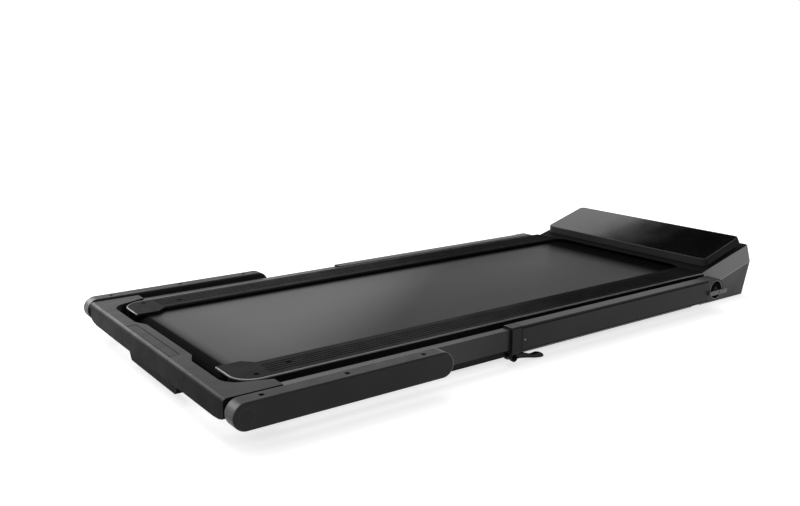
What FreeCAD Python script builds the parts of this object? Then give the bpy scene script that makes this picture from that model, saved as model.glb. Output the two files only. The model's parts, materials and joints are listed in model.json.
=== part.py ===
import FreeCAD, Part
import math
import os
import re
import Sketcher
from FreeCAD import Placement, Rotation, Vector

# Walking pad with a fold-down handrail, lying flat. Millimetres, +X to the hood, +Z up, floor at zero.
# Driving dimensions
SIZES = {
    "overrun": 2,
    "running_clearance": 0.05,
    "seat_clearance": 0.3,
    # deck, across
    "belt_width": 430,
    "roller_overhang": 3,
    "board_overhang": 7,
    "pulley_gap": 3,
    "pulley_width": 12,
    "spigot_overhang": 1,
    "frame_gap": 4,
    "frame_width": 29,
    # deck, along
    "deck_gap": 21.4,
    "belt_setback": 2,
    "roller_spacing": 1211,
    "frame_setback": 6,
    "frame_overhang": 40,
    "board_gap": 13,
    # deck, upwards
    "foot_height": 6,
    "frame_depth": 59,
    "frame_wall": 2.5,
    "frame_trim_run": 32,
    "frame_trim_width": 21,
    "flange_height": 20,
    "flange_inset": 1,
    "belt_gap": 1.5,
    "belt_thickness": 2,
    "belt_slack": 0.3,
    "board_thickness": 14,
    "cushion_height": 7,
    "cushion_radius": 15,
    "cushion_inset": 35,
    "member_width": 40,
    "member_depth": 19,
    "member_wall": 2,
    "member_margin": 147,
    # rollers
    "roller_radius": 20.7,
    "bearing_radius": 14,
    "bearing_width": 8,
    "shaft_radius": 6,
    "shaft_overhang": 18,
    "spigot_radius": 18,
    "tension_bolt_radius": 4,
    "tension_head_radius": 6.5,
    "tension_head_length": 3,
    # foot rails and their caps
    "rail_overhang": 11.5,
    "rail_overlap": 11,
    "rail_rise": 18.7,
    "rail_lip": 5.2,
    "rail_edge": 2.4,
    "rail_skirt": 3,
    "rail_skirt_depth": 15.7,
    "rail_plate": 3.7,
    "rail_end_gap": 0.6,
    "groove_count": 5,
    "groove_margin": 20,
    "groove_width": 1.6,
    "groove_depth": 1,
    "groove_spacing": 9,
    "cap_length": 64,
    "cap_step": 18,
    "cap_rounding": 40,
    "cap_height": 61.7,
    "cap_screw_inset": 20,
    "rail_screw_setback": 47,
    "screw_radius": 3.5,
    "screw_height": 1.8,
    "screw_depth": 2.2,
    "screw_slot_width": 1,
    # drive
    "drive_span": 95,
    "motor_radius": 36,
    "motor_wall": 4,
    "motor_clearance": 21,
    "motor_length": 130,
    "motor_cap_width": 6,
    "rotor_radius": 28,
    "rotor_inset": 10,
    "rotor_end": 4,
    "pulley_radius": 30,
    "motor_pulley_radius": 11,
    "pulley_flange": 2,
    "pulley_flange_width": 1.5,
    "drive_belt_width": 8,
    "drive_belt_thickness": 2.5,
    "saddle_length": 56,
    "saddle_width": 90,
    "saddle_height": 28,
    "sink_inset": 23,
    "sink_length": 90,
    "sink_margin": 62,
    "sink_width": 150,
    "sink_height": 10,
    "board_sheet": 1.6,
    "capacitor_radius": 11,
    "capacitor_height": 26,
    "coil_size": 26,
    # hood
    "hood_overlap": 34.4,
    "hood_length": 182.4,
    "hood_floor": 3,
    "hood_wall": 3,
    "hood_slope": 14.5,
    "hood_side_gap": 2,
    "hood_flare": 9,
    "hood_bottom_setback": 11,
    "hood_rim_setback": 3,
    "hood_rim_drop": 3.4,
    "hood_band": 40.3,
    "hood_corner": 4,
    "cover_thickness": 3,
    "cover_setback": 1,
    "cover_lip_setback": 9,
    "cover_lip_margin": 24,
    "cover_front_inset": 4,
    "cover_side_inset": 1.5,
    "pedestal_inset": 24,
    "panel_setback": 24,
    "panel_rise": 28,
    "panel_slope": 16.5,
    "panel_length": 139.7,
    "panel_margin": 12,
    "panel_depth": 17,
    "panel_flare": 4,
    "panel_corner_radius": 11,
    "panel_rim": 2.4,
    "lens_thickness": 3.2,
    "lens_gap": 0.15,
    "display_board_inset": 30,
    "display_board_well": 5,
    "hood_screw_radius": 5,
    "hood_screw_height": 2,
    "hood_screw_inset": 20,
    "hood_screw_spacing": 64,
    "hood_screw_margin": 122,
    # power inlet
    "power_margin": 72,
    "power_width": 84,
    "power_lift": 22,
    "power_height": 34,
    "power_depth": 22,
    "power_setback": 8,
    "socket_width": 27,
    "socket_height": 20,
    "socket_depth": 15,
    "socket_inset": 8,
    "socket_pin_width": 2,
    "socket_pin_height": 6,
    "rocker_width": 14,
    "rocker_height": 24,
    "rocker_inset": 10,
    "rocker_depth": 7,
    "rocker_tilt": 8,
    "rocker_gap": 0.6,
    "rocker_pin_radius": 1.2,
    # feet and transport wheels
    "foot_radius": 11,
    "foot_inset": 56,
    "wheel_inset": 56,
    "wheel_radius": 22,
    "wheel_lift": 3,
    "wheel_margin": 7.5,
    "wheel_width": 17,
    "wheel_room": 3,
    "fork_width": 20,
    "fork_plate": 3,
    "fork_gap": 0.6,
    "axle_radius": 4,
    # hinges and lock levers
    "hinge_setback": 15,
    "hinge_pin_radius": 7,
    "hinge_gap": 3,
    "knuckle_neck": 29.6,
    "knuckle_tongue": 35,
    "knuckle_recess_radius": 20.5,
    "knuckle_recess_depth": 8,
    "bracket_rear_run": 21.6,
    "bracket_length": 35,
    "bracket_drop": 3.5,
    "bracket_height": 42.5,
    "lock_lever_length": 64,
    "lock_lever_height": 10,
    "lock_lever_drop": 5.5,
    "lock_lever_shift": 4,
    "lock_lever_thickness": 5.6,
    "lock_hole_shift": 6.4,
    "lock_hole_radius": 1.8,
    "lock_hub_radius": 17,
    "lock_hub_width": 7.5,
    # telescoping tubes and clamp collars
    "sleeve_gap": 15.5,
    "sleeve_width": 29,
    "sleeve_depth": 53,
    "sleeve_drop": 2.7,
    "sleeve_wall": 2.2,
    "sleeve_rounding": 3.5,
    "sleeve_length": 584,
    "tube_width": 17,
    "tube_depth": 41,
    "tube_lift": 2.3,
    "tube_wall": 2,
    "tube_setback": 1.4,
    "tube_insertion": 160,
    "tube_guide_length": 30,
    "collar_length": 24.5,
    "collar_tongue": 22,
    "ear_setback": 9.3,
    "ear_radius": 8.5,
    "ear_width": 6,
    "ear_gap": 11,
    "ear_drop": 8.2,
    "clamp_bolt_radius": 3,
    "clamp_bolt_head": 2.5,
    "clamp_head_radius": 5.5,
    "clamp_hub_radius": 7,
    "clamp_lever_length": 85,
    "clamp_lever_drop": 16.6,
    # crossbar
    "crossbar_depth": 30,
    "crossbar_overhang": 2,
    "crossbar_rise": 3,
    "crossbar_cover_height": 30,
    "crossbar_tray_height": 11,
    "crossbar_wall": 3,
    "crossbar_rear_run": 8,
    "crossbar_elbow_radius": 38,
    "crossbar_corner_run": 38,
    "crossbar_corner_rise": 10,
    "arm_length": 74.4,
    "arm_margin": 5,
    "arm_taper": 27,
    "arm_drop": 13,
    "bump_depth": 13,
    "bump_reach": 137,
    "bump_front_reach": 108,
    "bump_height": 12,
    "bump_rounding": 14,
    "display_shift": 14,
    "display_reach": 106,
    "display_depth": 18.4,
    "display_recess": 1.4,
    "display_thickness": 1.2,
    "housing_setback": 13.4,
    "housing_depth": 22,
    "housing_reach": 126,
    "housing_bottom_reach": 111,
    "housing_height": 30,
    "housing_rounding": 8,
    # armrests
    "armrest_gap": 9,
    "armrest_thickness": 32,
    "armrest_length": 424,
    "armrest_height": 47,
    "armrest_rise": 2.7,
    "armrest_rounding": 3,
    "armrest_hole_radius": 3.2,
    "armrest_hole_depth": 4,
    "armrest_hole_inset": 56,
    "armrest_boss_radius": 19,
    "armrest_boss_width": 6,
    "armrest_pin_radius": 8,
    "armrest_pin_inset": 17,
    "armrest_bore_depth": 14,
    "armrest_flange_radius": 9,
    "armrest_flange_width": 4,
    "armrest_pivot_setback": 20.9,
}

# Places and sizes that several pieces share, worked out from the sizes above. A name that ends in _at is a
# distance from the rear end, one in _level a height above the floor, one in _reach a distance from the middle.
PLACES = {
    "sliver": "overrun / 1000",
    # across
    "belt_reach": "belt_width / 2",
    "roller_reach": "belt_reach + roller_overhang",
    "board_reach": "belt_reach + board_overhang",
    "cushion_reach": "belt_reach - cushion_inset",
    "pulley_inner_reach": "roller_reach + pulley_gap",
    "pulley_outer_reach": "pulley_inner_reach + pulley_width",
    "spigot_reach": "pulley_outer_reach + spigot_overhang",
    "frame_inner": "spigot_reach + frame_gap",
    "frame_reach": "frame_inner + frame_width",
    "frame_middle": "frame_inner + frame_width / 2",
    "shaft_reach": "frame_inner + shaft_overhang",
    "tension_bolt_reach": "frame_inner + frame_wall + tension_bolt_radius + seat_clearance",
    "rail_reach": "frame_reach + rail_overhang",
    "flange_reach": "rail_reach - flange_inset",
    "rail_inner_reach": "belt_reach - rail_overlap",
    "cap_inner_reach": "rail_inner_reach - cap_step",
    "cap_screw_reach": "rail_reach - cap_screw_inset",
    "groove_reach": "rail_inner_reach + groove_margin",
    "rail_screw_reach": "groove_reach + groove_spacing + (groove_spacing + groove_width) / 2",
    "sleeve_inner": "rail_reach + sleeve_gap",
    "sleeve_reach": "sleeve_inner + sleeve_width",
    "sleeve_middle": "sleeve_inner + sleeve_width / 2",
    "crossbar_reach": "sleeve_reach + crossbar_overhang",
    "arm_end_reach": "tube_low - arm_margin",
    "arm_root_reach": "arm_end_reach - arm_taper",
    "armrest_inner": "crossbar_reach + armrest_gap",
    "armrest_reach": "armrest_inner + armrest_thickness",
    "motor_reach": "pulley_inner_reach - motor_clearance - motor_length",
    "hood_bottom_reach": "frame_reach + hood_side_gap + hood_wall",
    "hood_crease_reach": "hood_bottom_reach + hood_flare",
    "hood_rim_reach": "hood_bottom_reach",
    "hood_screw_reach": "hood_bottom_reach - hood_screw_margin",
    "panel_reach": "hood_rim_reach - panel_margin",
    "sink_reach": "hood_bottom_reach - sink_margin",
    "wheel_reach": "hood_bottom_reach - hood_wall - wheel_margin",
    "wheel_inner": "wheel_reach - wheel_width",
    "power_low": "power_margin - hood_bottom_reach",
    "power_high": "power_low + power_width",
    "rocker_y": "power_high - rocker_inset - rocker_width / 2",
    # along
    "armrest_radius": "armrest_height / 2",
    "crossbar_at": "armrest_radius - armrest_pivot_setback",
    "crossbar_inner_at": "crossbar_at + crossbar_depth",
    "arm_end_at": "crossbar_inner_at + arm_length",
    "tube_at": "crossbar_inner_at + tube_setback",
    "cap_at": "crossbar_inner_at + deck_gap",
    "rear_roller_at": "cap_at + belt_setback + belt_outer_radius",
    "front_roller_at": "rear_roller_at + roller_spacing",
    "frame_at": "cap_at + frame_setback",
    "frame_end_at": "front_roller_at + frame_overhang",
    "board_at": "rear_roller_at + roller_radius + board_gap",
    "board_end_at": "front_roller_at - roller_radius - board_gap",
    "member_at": "board_at + member_margin",
    "member_spacing": "(board_end_at - board_at - 2 * member_margin - member_width) / 2",
    "hood_at": "front_roller_at - hood_overlap",
    "rail_end_at": "hood_at - rail_end_gap",
    "overall_length": "hood_at + hood_length",
    "hinge_at": "hood_at - hinge_setback",
    "bracket_at": "hinge_at - bracket_rear_run",
    "sleeve_end_at": "hinge_at - knuckle_neck",
    "sleeve_at": "sleeve_end_at - sleeve_length",
    "collar_at": "sleeve_at - collar_length",
    "tube_end_at": "collar_at + tube_insertion",
    "foot_rear_at": "cap_at + foot_inset",
    "foot_front_at": "hood_at - foot_inset",
    "motor_at": "front_roller_at + drive_span",
    "panel_at": "hood_at + panel_setback",
    "sink_at": "overall_length - sink_inset - sink_length",
    "wheel_at": "overall_length - wheel_inset",
    "hood_screw_at": "hood_at + hood_screw_inset",
    "rear": "-overall_length / 2",
    "front": "overall_length / 2",
    "armrest_pivot": "rear + armrest_radius",
    "crossbar_rear": "rear + crossbar_at",
    "crossbar_inner": "rear + crossbar_inner_at",
    "arm_end": "rear + arm_end_at",
    "cap_rear": "rear + cap_at",
    "cap_front": "cap_rear + cap_length",
    "hinge_x": "rear + hinge_at",
    "ear_middle": "rear + collar_at + ear_setback",
    "motor_x": "rear + motor_at",
    "hood_rear": "rear + hood_at",
    "cover_rear": "hood_rear + cover_setback",
    "cover_lip": "hood_rear + cover_lip_setback",
    "cover_front": "front - hood_rim_setback - cover_front_inset",
    "power_front": "front - power_setback",
    "rocker_x": "power_front - rocker_depth",
    "wheel_x": "rear + wheel_at",
    "sink_x": "rear + sink_at",
    # upwards
    "frame_bottom_level": "foot_height",
    "frame_top": "frame_bottom_level + frame_depth",
    "rail_top_level": "frame_top + rail_rise",
    "rail_lip_level": "rail_top_level - rail_lip",
    "rail_plate_level": "rail_top_level - rail_plate",
    "rail_skirt_level": "rail_top_level - rail_skirt_depth",
    "cap_bottom_level": "rail_top_level - cap_height",
    "belt_top_level": "rail_lip_level - belt_gap",
    "belt_inner_radius": "roller_radius + belt_slack",
    "belt_outer_radius": "belt_inner_radius + belt_thickness",
    "roller_level": "belt_top_level - belt_outer_radius",
    "board_top": "belt_top_level - belt_thickness",
    "board_bottom": "board_top - board_thickness",
    "member_top": "board_bottom - cushion_height",
    "member_bottom_level": "member_top - member_depth",
    "sleeve_top_level": "rail_top_level - sleeve_drop",
    "sleeve_bottom": "sleeve_top_level - sleeve_depth",
    "sleeve_level": "sleeve_top_level - sleeve_depth / 2",
    "crossbar_top_level": "sleeve_top_level + crossbar_rise",
    "crossbar_split_level": "crossbar_top_level - crossbar_cover_height",
    "crossbar_bottom_level": "crossbar_split_level - crossbar_tray_height",
    "arm_bottom_level": "crossbar_bottom_level - arm_drop",
    "bump_bottom_level": "crossbar_top_level - bump_height",
    "housing_bottom_level": "crossbar_bottom_level - housing_height",
    "armrest_top_level": "crossbar_top_level + armrest_rise",
    "armrest_level": "armrest_top_level - armrest_radius",
    "bracket_top_level": "rail_skirt_level - bracket_drop",
    "bracket_bottom_level": "bracket_top_level - bracket_height",
    "ear_level": "sleeve_bottom - ear_drop",
    "hood_bottom_level": "frame_bottom_level - hood_floor",
    "hood_floor_top": "frame_bottom_level",
    "hood_rim_level": "rail_top_level - hood_rim_drop",
    "hood_crease_level": "hood_rim_level - hood_band",
    "cover_rear_level": "hood_rim_level + cover_setback * tan(hood_slope)",
    "cover_front_level": "hood_rim_level + (cover_front - hood_rear) * tan(hood_slope)",
    "panel_level": "hood_rim_level + panel_rise",
    "panel_low_x": "rear + panel_at + panel_depth * sin(panel_slope)",
    "panel_low_level": "panel_level - panel_depth * cos(panel_slope)",
    "power_bottom_level": "hood_floor_top + power_lift",
    "rocker_level": "power_bottom_level + power_height / 2",
    "saddle_top_level": "hood_floor_top + saddle_height",
    "sink_top": "hood_floor_top + sink_height",
    "wheel_level": "wheel_radius + wheel_lift",
    # fits of the telescoping tubes
    "room_low": "sleeve_inner + sleeve_wall",
    "room_high": "sleeve_reach - sleeve_wall",
    "room_bottom": "sleeve_bottom + sleeve_wall",
    "room_top": "sleeve_top_level - sleeve_wall",
    "guide_low": "room_low + seat_clearance",
    "guide_high": "room_high - seat_clearance",
    "guide_bottom": "room_bottom + seat_clearance",
    "guide_top": "room_top - seat_clearance",
    "tube_low": "sleeve_middle - tube_width / 2",
    "tube_high": "sleeve_middle + tube_width / 2",
    "tube_bottom": "sleeve_level + tube_lift - tube_depth / 2",
    "tube_top": "sleeve_level + tube_lift + tube_depth / 2",
    "slot_low": "tube_low - seat_clearance",
    "slot_high": "tube_high + seat_clearance",
    "slot_bottom": "tube_bottom - seat_clearance",
    "slot_top": "tube_top + seat_clearance",
    "ear_outer": "sleeve_middle + ear_gap / 2",
    "ear_inner": "sleeve_middle - ear_gap / 2 - ear_width",
}

doc = FreeCAD.newDocument("WalkingPad")
sheet = doc.addObject("Spreadsheet::Sheet", "Sizes")
for row, (name, size) in enumerate(SIZES.items(), start=1):
    sheet.set("A%d" % row, name)
    sheet.set("B%d" % row, str(size))
    sheet.setAlias("B%d" % row, name)
doc.recompute()

NODES = []


def spell(text):
    """The text with each place written out in full and each size named by its sheet."""
    def swap(found):
        word = found.group()
        if word in PLACES:
            return "(" + spell(PLACES[word]) + ")"
        if word in SIZES:
            return "Sizes." + word
        return word
    return re.sub("[a-z_]+", swap, text)


def measure(text):
    """The number that the text comes to at the sheet's present sizes."""
    return float(sheet.evalExpression(spell(text)))


def tie(thing, path, text):
    """Bind one property of a thing to the sizes."""
    thing.setExpression(path, spell(text))


def node(thing, label):
    """Hand a finished thing in as the sub-part of that name."""
    thing.Label = label
    NODES.append(thing)
    return thing


def new_body(label):
    return node(doc.addObject("PartDesign::Body", label), label)


def new_sketch(owner, plane, offset="0"):
    sketch = owner.newObject("Sketcher::SketchObject", owner.Name + "_sketch")
    support = next(item for item in owner.Origin.OriginFeatures if item.Role == plane + "_Plane")
    sketch.AttachmentSupport = (support, [""])
    sketch.MapMode = "FlatFace"
    tie(sketch, "AttachmentOffset.Base.z", offset)
    return sketch


def pin_point(sketch, curve, spot, x, y):
    """Hold one point of a curve at a place measured from the sketch's origin."""
    for kind, text in (("DistanceX", x), ("DistanceY", y)):
        number = sketch.addConstraint(Sketcher.Constraint(kind, -1, 1, curve, spot, measure(text)))
        tie(sketch, "Constraints[%d]" % number, text)


def hold_radius(sketch, curve, radius):
    number = sketch.addConstraint(Sketcher.Constraint("Radius", curve, measure(radius)))
    tie(sketch, "Constraints[%d]" % number, radius)


def polygon(*corners):
    """A closed outline of straight lines, as a drawing for a sketch."""
    def draw(sketch):
        spots = [Vector(measure(x), measure(y), 0) for x, y in corners]
        lines = []
        for here, there in zip(spots, spots[1:] + spots[:1]):
            lines.append(sketch.addGeometry(Part.LineSegment(here, there), False))
        for line, following in zip(lines, lines[1:] + lines[:1]):
            sketch.addConstraint(Sketcher.Constraint("Coincident", line, 2, following, 1))
        for line, (x, y) in zip(lines, corners):
            pin_point(sketch, line, 1, x, y)
    return draw


def rectangle(x_low, x_high, y_low, y_high):
    return polygon((x_low, y_low), (x_high, y_low), (x_high, y_high), (x_low, y_high))


def rounded(x_low, x_high, y_low, y_high, radius):
    """A rectangle with round corners, as a drawing for a sketch."""
    def draw(sketch):
        near = (x_low + " + " + radius, y_low + " + " + radius)
        far = (x_high + " - (" + radius + ")", y_high + " - (" + radius + ")")
        starts = ((near[0], y_low), (x_high, near[1]), (far[0], y_high), (x_low, far[1]))
        ends = ((far[0], y_low), (x_high, far[1]), (near[0], y_high), (x_low, near[1]))
        centres = ((far[0], near[1]), far, (near[0], far[1]), near)
        for number, (start, end, centre) in enumerate(zip(starts, ends, centres)):
            here, there, middle = [Vector(measure(x), measure(y), 0) for x, y in (start, end, centre)]
            line = sketch.addGeometry(Part.LineSegment(here, there), False)
            ring = Part.Circle(middle, Vector(0, 0, 1), measure(radius))
            quarter = math.pi / 2
            arc = Part.ArcOfCircle(ring, quarter * (number - 1), quarter * number)
            bend = sketch.addGeometry(arc, False)
            pin_point(sketch, line, 1, *start)
            pin_point(sketch, line, 2, *end)
            hold_radius(sketch, bend, radius)
            sketch.addConstraint(Sketcher.Constraint("Coincident", line, 2, bend, 1))
            if number:
                sketch.addConstraint(Sketcher.Constraint("Coincident", bend - 2, 2, line, 1))
        sketch.addConstraint(Sketcher.Constraint("Coincident", bend, 2, 0, 1))
    return draw


def circle(x, y, radius):
    def draw(sketch):
        centre = Vector(measure(x), measure(y), 0)
        curve = sketch.addGeometry(Part.Circle(centre, Vector(0, 0, 1), measure(radius)), False)
        pin_point(sketch, curve, 3, x, y)
        hold_radius(sketch, curve, radius)
    return draw


def extrude(owner, plane, low, high, *drawings, cut=False):
    """Add or cut a prism of the drawings between two places along the plane's own axis."""
    start = high if cut else low
    if plane == "XZ":
        start = "-(%s)" % (low if cut else high)
    sketch = new_sketch(owner, plane, start)
    for draw in drawings:
        draw(sketch)
    kind = "PartDesign::Pocket" if cut else "PartDesign::Pad"
    feature = owner.newObject(kind, owner.Name + ("_cut" if cut else "_pad"))
    feature.Profile = sketch
    tie(feature, "Length", "(%s) - (%s)" % (high, low))
    owner.Tip = feature
    return feature


def carve(owner, plane, low, high, *drawings):
    return extrude(owner, plane, low, high, *drawings, cut=True)


def revolve(owner, x, z, *corners):
    """A ring about an axis along Y through a place, from corners given as radius and Y."""
    sketch = new_sketch(owner, "XY", z)
    polygon(*[("%s + (%s)" % (x, radius), y) for radius, y in corners])(sketch)
    axis = sketch.addGeometry(Part.LineSegment(Vector(measure(x), 0, 0), Vector(measure(x), 1, 0)), True)
    pin_point(sketch, axis, 1, x, "0")
    pin_point(sketch, axis, 2, x, "overrun")
    feature = owner.newObject("PartDesign::Revolution", owner.Name + "_turn")
    feature.Profile = sketch
    feature.ReferenceAxis = (sketch, ["Axis0"])
    feature.Angle = 360
    owner.Tip = feature
    return feature


def dress(owner, kind, path, size, wanted):
    """Round or bevel the wanted edges of a body's latest feature."""
    doc.recompute()
    base = owner.Tip
    edges = ["Edge%d" % number for number, edge in enumerate(base.Shape.Edges, start=1) if wanted(edge)]
    feature = owner.newObject("PartDesign::" + kind, owner.Name + "_" + kind.lower())
    feature.Base = (base, edges)
    tie(feature, path, size)
    owner.Tip = feature
    return feature


def round_off(owner, radius, wanted):
    return dress(owner, "Fillet", "Radius", radius, wanted)


def lies_along(edge, axis):
    """Whether an edge is straight and runs along X, Y or Z, by number."""
    box = edge.BoundBox
    spans = [box.XLength, box.YLength, box.ZLength]
    across = [span for number, span in enumerate(spans) if number != axis]
    straight_share = 0.001
    return max(across) < straight_share * edge.Length


def mirrored(source, label):
    """The same piece on the other side of the middle plane."""
    copy = doc.addObject("Part::Mirroring", label)
    copy.Source = source
    copy.Normal = Vector(0, 1, 0)
    return node(copy, label)


def sides(low, high):
    """A stretch of Y on the left, and the same stretch on the right."""
    return ((low, high), ("-(%s)" % high, "-(%s)" % low))


def both(thing):
    """A loose piece and its twin on the other side of the middle plane."""
    twin = doc.addObject("Part::Mirroring", "Twin")
    twin.Source = thing
    twin.Normal = Vector(0, 1, 0)
    return [thing, twin]


def cylinder(axis, radius, low, high, first, second):
    """A round bar along an axis between two places, with its centre at the other two coordinates."""
    bar = doc.addObject("Part::Cylinder", "Bar")
    turn, spots = {
        "x": (Rotation(Vector(0, 1, 0), 90), (low, first, second)),
        "y": (Rotation(Vector(1, 0, 0), -90), (first, low, second)),
        "z": (Rotation(), (first, second, low)),
    }[axis]
    bar.Placement = Placement(Vector(), turn)
    tie(bar, "Radius", radius)
    tie(bar, "Height", "(%s) - (%s)" % (high, low))
    for letter, spot in zip("xyz", spots):
        tie(bar, "Placement.Base." + letter, spot)
    return bar


def block(x_low, x_high, y_low, y_high, z_low, z_high):
    box = doc.addObject("Part::Box", "Block")
    spans = (("Length", "x", x_low, x_high), ("Width", "y", y_low, y_high), ("Height", "z", z_low, z_high))
    for path, letter, low, high in spans:
        tie(box, path, "(%s) - (%s)" % (high, low))
        tie(box, "Placement.Base." + letter, low)
    return box


def fuse(*things):
    whole = doc.addObject("Part::MultiFuse", "Whole")
    whole.Shapes = list(things)
    whole.Refine = True
    return whole


def cut(base, tool):
    rest = doc.addObject("Part::Cut", "Rest")
    rest.Base = base
    rest.Tool = tool
    return rest


def group(label, things):
    """Like pieces that share one node as separate solids."""
    together = doc.addObject("Part::Compound", label)
    together.Links = list(things)
    return node(together, label)


def hollow_bar(label, x_low, x_high, y_low, y_high, z_low, z_high, wall, rounding=None):
    """A rectangular tube along X."""
    bar = new_body(label)
    extrude(bar, "YZ", x_low, x_high, rectangle(y_low, y_high, z_low, z_high))
    if rounding:
        round_off(bar, rounding, lambda edge: lies_along(edge, 0))
    inside = rectangle(*["%s %s %s" % (spot, sign, wall) for spot, sign in
                         ((y_low, "+"), (y_high, "-"), (z_low, "+"), (z_high, "-"))])
    carve(bar, "YZ", x_low, x_high, inside)
    return bar


# Deck frame
side_frame = hollow_bar("side_frame_left", "rear + frame_at", "rear + frame_end_at", "frame_inner",
                        "frame_reach", "frame_bottom_level", "frame_top", "frame_wall")
for roller in ("rear_roller_at", "front_roller_at"):
    carve(side_frame, "XZ", "frame_inner - overrun", "frame_inner + frame_wall",
          circle("rear + " + roller, "roller_level", "shaft_radius + running_clearance"))
carve(side_frame, "XY", "frame_bottom_level - overrun", "frame_top + overrun", polygon(
    ("rear + frame_at - overrun", "frame_reach - frame_trim_width"),
    ("rear + frame_at", "frame_reach - frame_trim_width"),
    ("rear + frame_at + frame_trim_run", "frame_reach"),
    ("rear + frame_at + frame_trim_run", "frame_reach + overrun"),
    ("rear + frame_at - overrun", "frame_reach + overrun")))
flange_top = "frame_bottom_level + flange_height"
flange_inner = "flange_reach - frame_wall"
extrude(side_frame, "YZ", "cap_front", "rear + bracket_at - seat_clearance", polygon(
    ("frame_reach", "frame_bottom_level"), ("flange_reach", "frame_bottom_level"), ("flange_reach", flange_top),
    (flange_inner, flange_top), (flange_inner, "frame_bottom_level + frame_wall"),
    ("frame_reach", "frame_bottom_level + frame_wall")))
mirrored(side_frame, "side_frame_right")

members = []
cushions = []
for number in range(3):
    low = "rear + member_at + %d * member_spacing" % number
    high = low + " + member_width"
    outer = block(low, high, "-frame_inner", "frame_inner", "member_bottom_level", "member_top")
    inner = block(low + " + member_wall", high + " - member_wall", "-frame_inner - overrun",
                  "frame_inner + overrun", "member_bottom_level + member_wall", "member_top - member_wall")
    members.append(cut(outer, inner))
    cushions += both(cylinder("z", "cushion_radius", "member_top", "board_bottom",
                              low + " + member_width / 2",
                              "cushion_reach"))
group("cross_members", members)
group("deck_cushions", cushions)

board = new_body("deck_board")
extrude(board, "XY", "board_bottom", "board_top",
        rectangle("rear + board_at", "rear + board_end_at", "-board_reach", "board_reach"))


def belt_loop(radius, reach):
    """A flat-sided round-ended bar about both rollers."""
    rear_x = "rear + rear_roller_at"
    front_x = "rear + front_roller_at"
    ends = [cylinder("y", radius, "-" + reach, reach, x, "roller_level") for x in (rear_x, front_x)]
    middle = block(rear_x, front_x, "-" + reach, reach, "roller_level - " + radius,
                   "roller_level + " + radius)
    return fuse(middle, *ends)


node(cut(belt_loop("belt_outer_radius", "belt_reach"), belt_loop("belt_inner_radius", "roller_reach")),
     "running_belt")

# Rollers, their shafts, bearings and tension bolts
rear_roller = new_body("rear_roller")
revolve(rear_roller, "rear + rear_roller_at", "roller_level", ("bearing_radius", "-roller_reach"),
        ("roller_radius", "-roller_reach"), ("roller_radius", "roller_reach"), ("bearing_radius",
                                                                                "roller_reach"))
front_roller = new_body("front_roller")
revolve(front_roller, "rear + front_roller_at", "roller_level", ("bearing_radius", "-roller_reach"),
        ("roller_radius", "-roller_reach"), ("roller_radius", "roller_reach"), ("spigot_radius",
                                                                                "roller_reach"),
        ("spigot_radius", "spigot_reach"), ("bearing_radius", "spigot_reach"))
bearings = []
shafts = []
for name, left_reach in (("rear", "roller_reach"), ("front", "spigot_reach")):
    x = "rear + %s_roller_at" % name
    shafts.append(cylinder("y", "shaft_radius", "-shaft_reach", "shaft_reach", x, "roller_level"))
    for low, high in (("-roller_reach", "bearing_width - roller_reach"),
                      (left_reach + " - bearing_width", left_reach)):
        outer = cylinder("y", "bearing_radius - running_clearance", low, high, x, "roller_level")
        inner = cylinder("y", "shaft_radius + running_clearance", low, high, x, "roller_level")
        bearings.append(cut(outer, inner))
group("roller_bearings", bearings)
group("roller_shafts", shafts)

shank = cylinder("x", "tension_bolt_radius", "cap_rear", "rear + rear_roller_at - shaft_radius",
                 "tension_bolt_reach", "roller_level")
head = cylinder("x", "tension_head_radius", "cap_rear - tension_head_length", "cap_rear",
                "tension_bolt_reach",
                "roller_level")
group("tension_bolts", both(fuse(shank, head)))

# Foot rails and rear caps
rail = new_body("foot_rail_left")
extrude(rail, "YZ", "cap_front", "rear + rail_end_at", polygon(
    ("rail_inner_reach", "rail_lip_level"), ("rail_inner_reach", "rail_top_level - rail_edge"),
    ("rail_inner_reach + rail_edge", "rail_top_level"), ("rail_reach - rail_edge", "rail_top_level"),
    ("rail_reach", "rail_top_level - rail_edge"), ("rail_reach", "rail_skirt_level"),
    ("rail_reach - rail_skirt", "rail_skirt_level"), ("rail_reach - rail_skirt", "rail_plate_level"),
    ("frame_reach", "rail_plate_level"), ("frame_reach", "frame_top"),
    ("frame_inner", "frame_top"), ("frame_inner", "rail_lip_level")))
grooves = []
for number in range(int(SIZES["groove_count"])):
    low = "groove_reach + %d * groove_spacing" % number
    grooves.append(rectangle(low, low + " + groove_width", "rail_top_level - groove_depth",
                             "rail_top_level + overrun"))
carve(rail, "YZ", "cap_front", "rear + rail_end_at", *grooves)
rail_screw = ("cap_front + rail_screw_setback", "rail_screw_reach")
carve(rail, "XY", "rail_top_level - screw_depth", "rail_top_level + overrun",
      circle(*rail_screw, "screw_radius + running_clearance"))
mirrored(rail, "foot_rail_right")

cap = new_body("rail_cap_left")
extrude(cap, "XY", "cap_bottom_level", "rail_top_level", polygon(
    ("cap_rear", "cap_inner_reach"), ("cap_front - cap_step", "cap_inner_reach"),
    ("cap_front", "rail_inner_reach"), ("cap_front", "rail_reach"), ("cap_rear", "rail_reach")))
carve(cap, "XY", "cap_bottom_level - overrun", "rail_lip_level", polygon(
    ("cap_rear - overrun", "cap_inner_reach - overrun"), ("cap_front + overrun", "cap_inner_reach - overrun"),
    ("cap_front + overrun", "rail_reach - rail_skirt"), ("cap_rear + rail_skirt", "rail_reach - rail_skirt"),
    ("cap_rear + rail_skirt", "spigot_reach"), ("cap_rear - overrun", "spigot_reach")))


def stands_at(x, y):
    """A test for an upright edge at a place in plan."""
    return lambda edge: lies_along(edge, 2) and math.hypot(
        edge.BoundBox.XMin - measure(x), edge.BoundBox.YMin - measure(y)) < measure("running_clearance")


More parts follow.
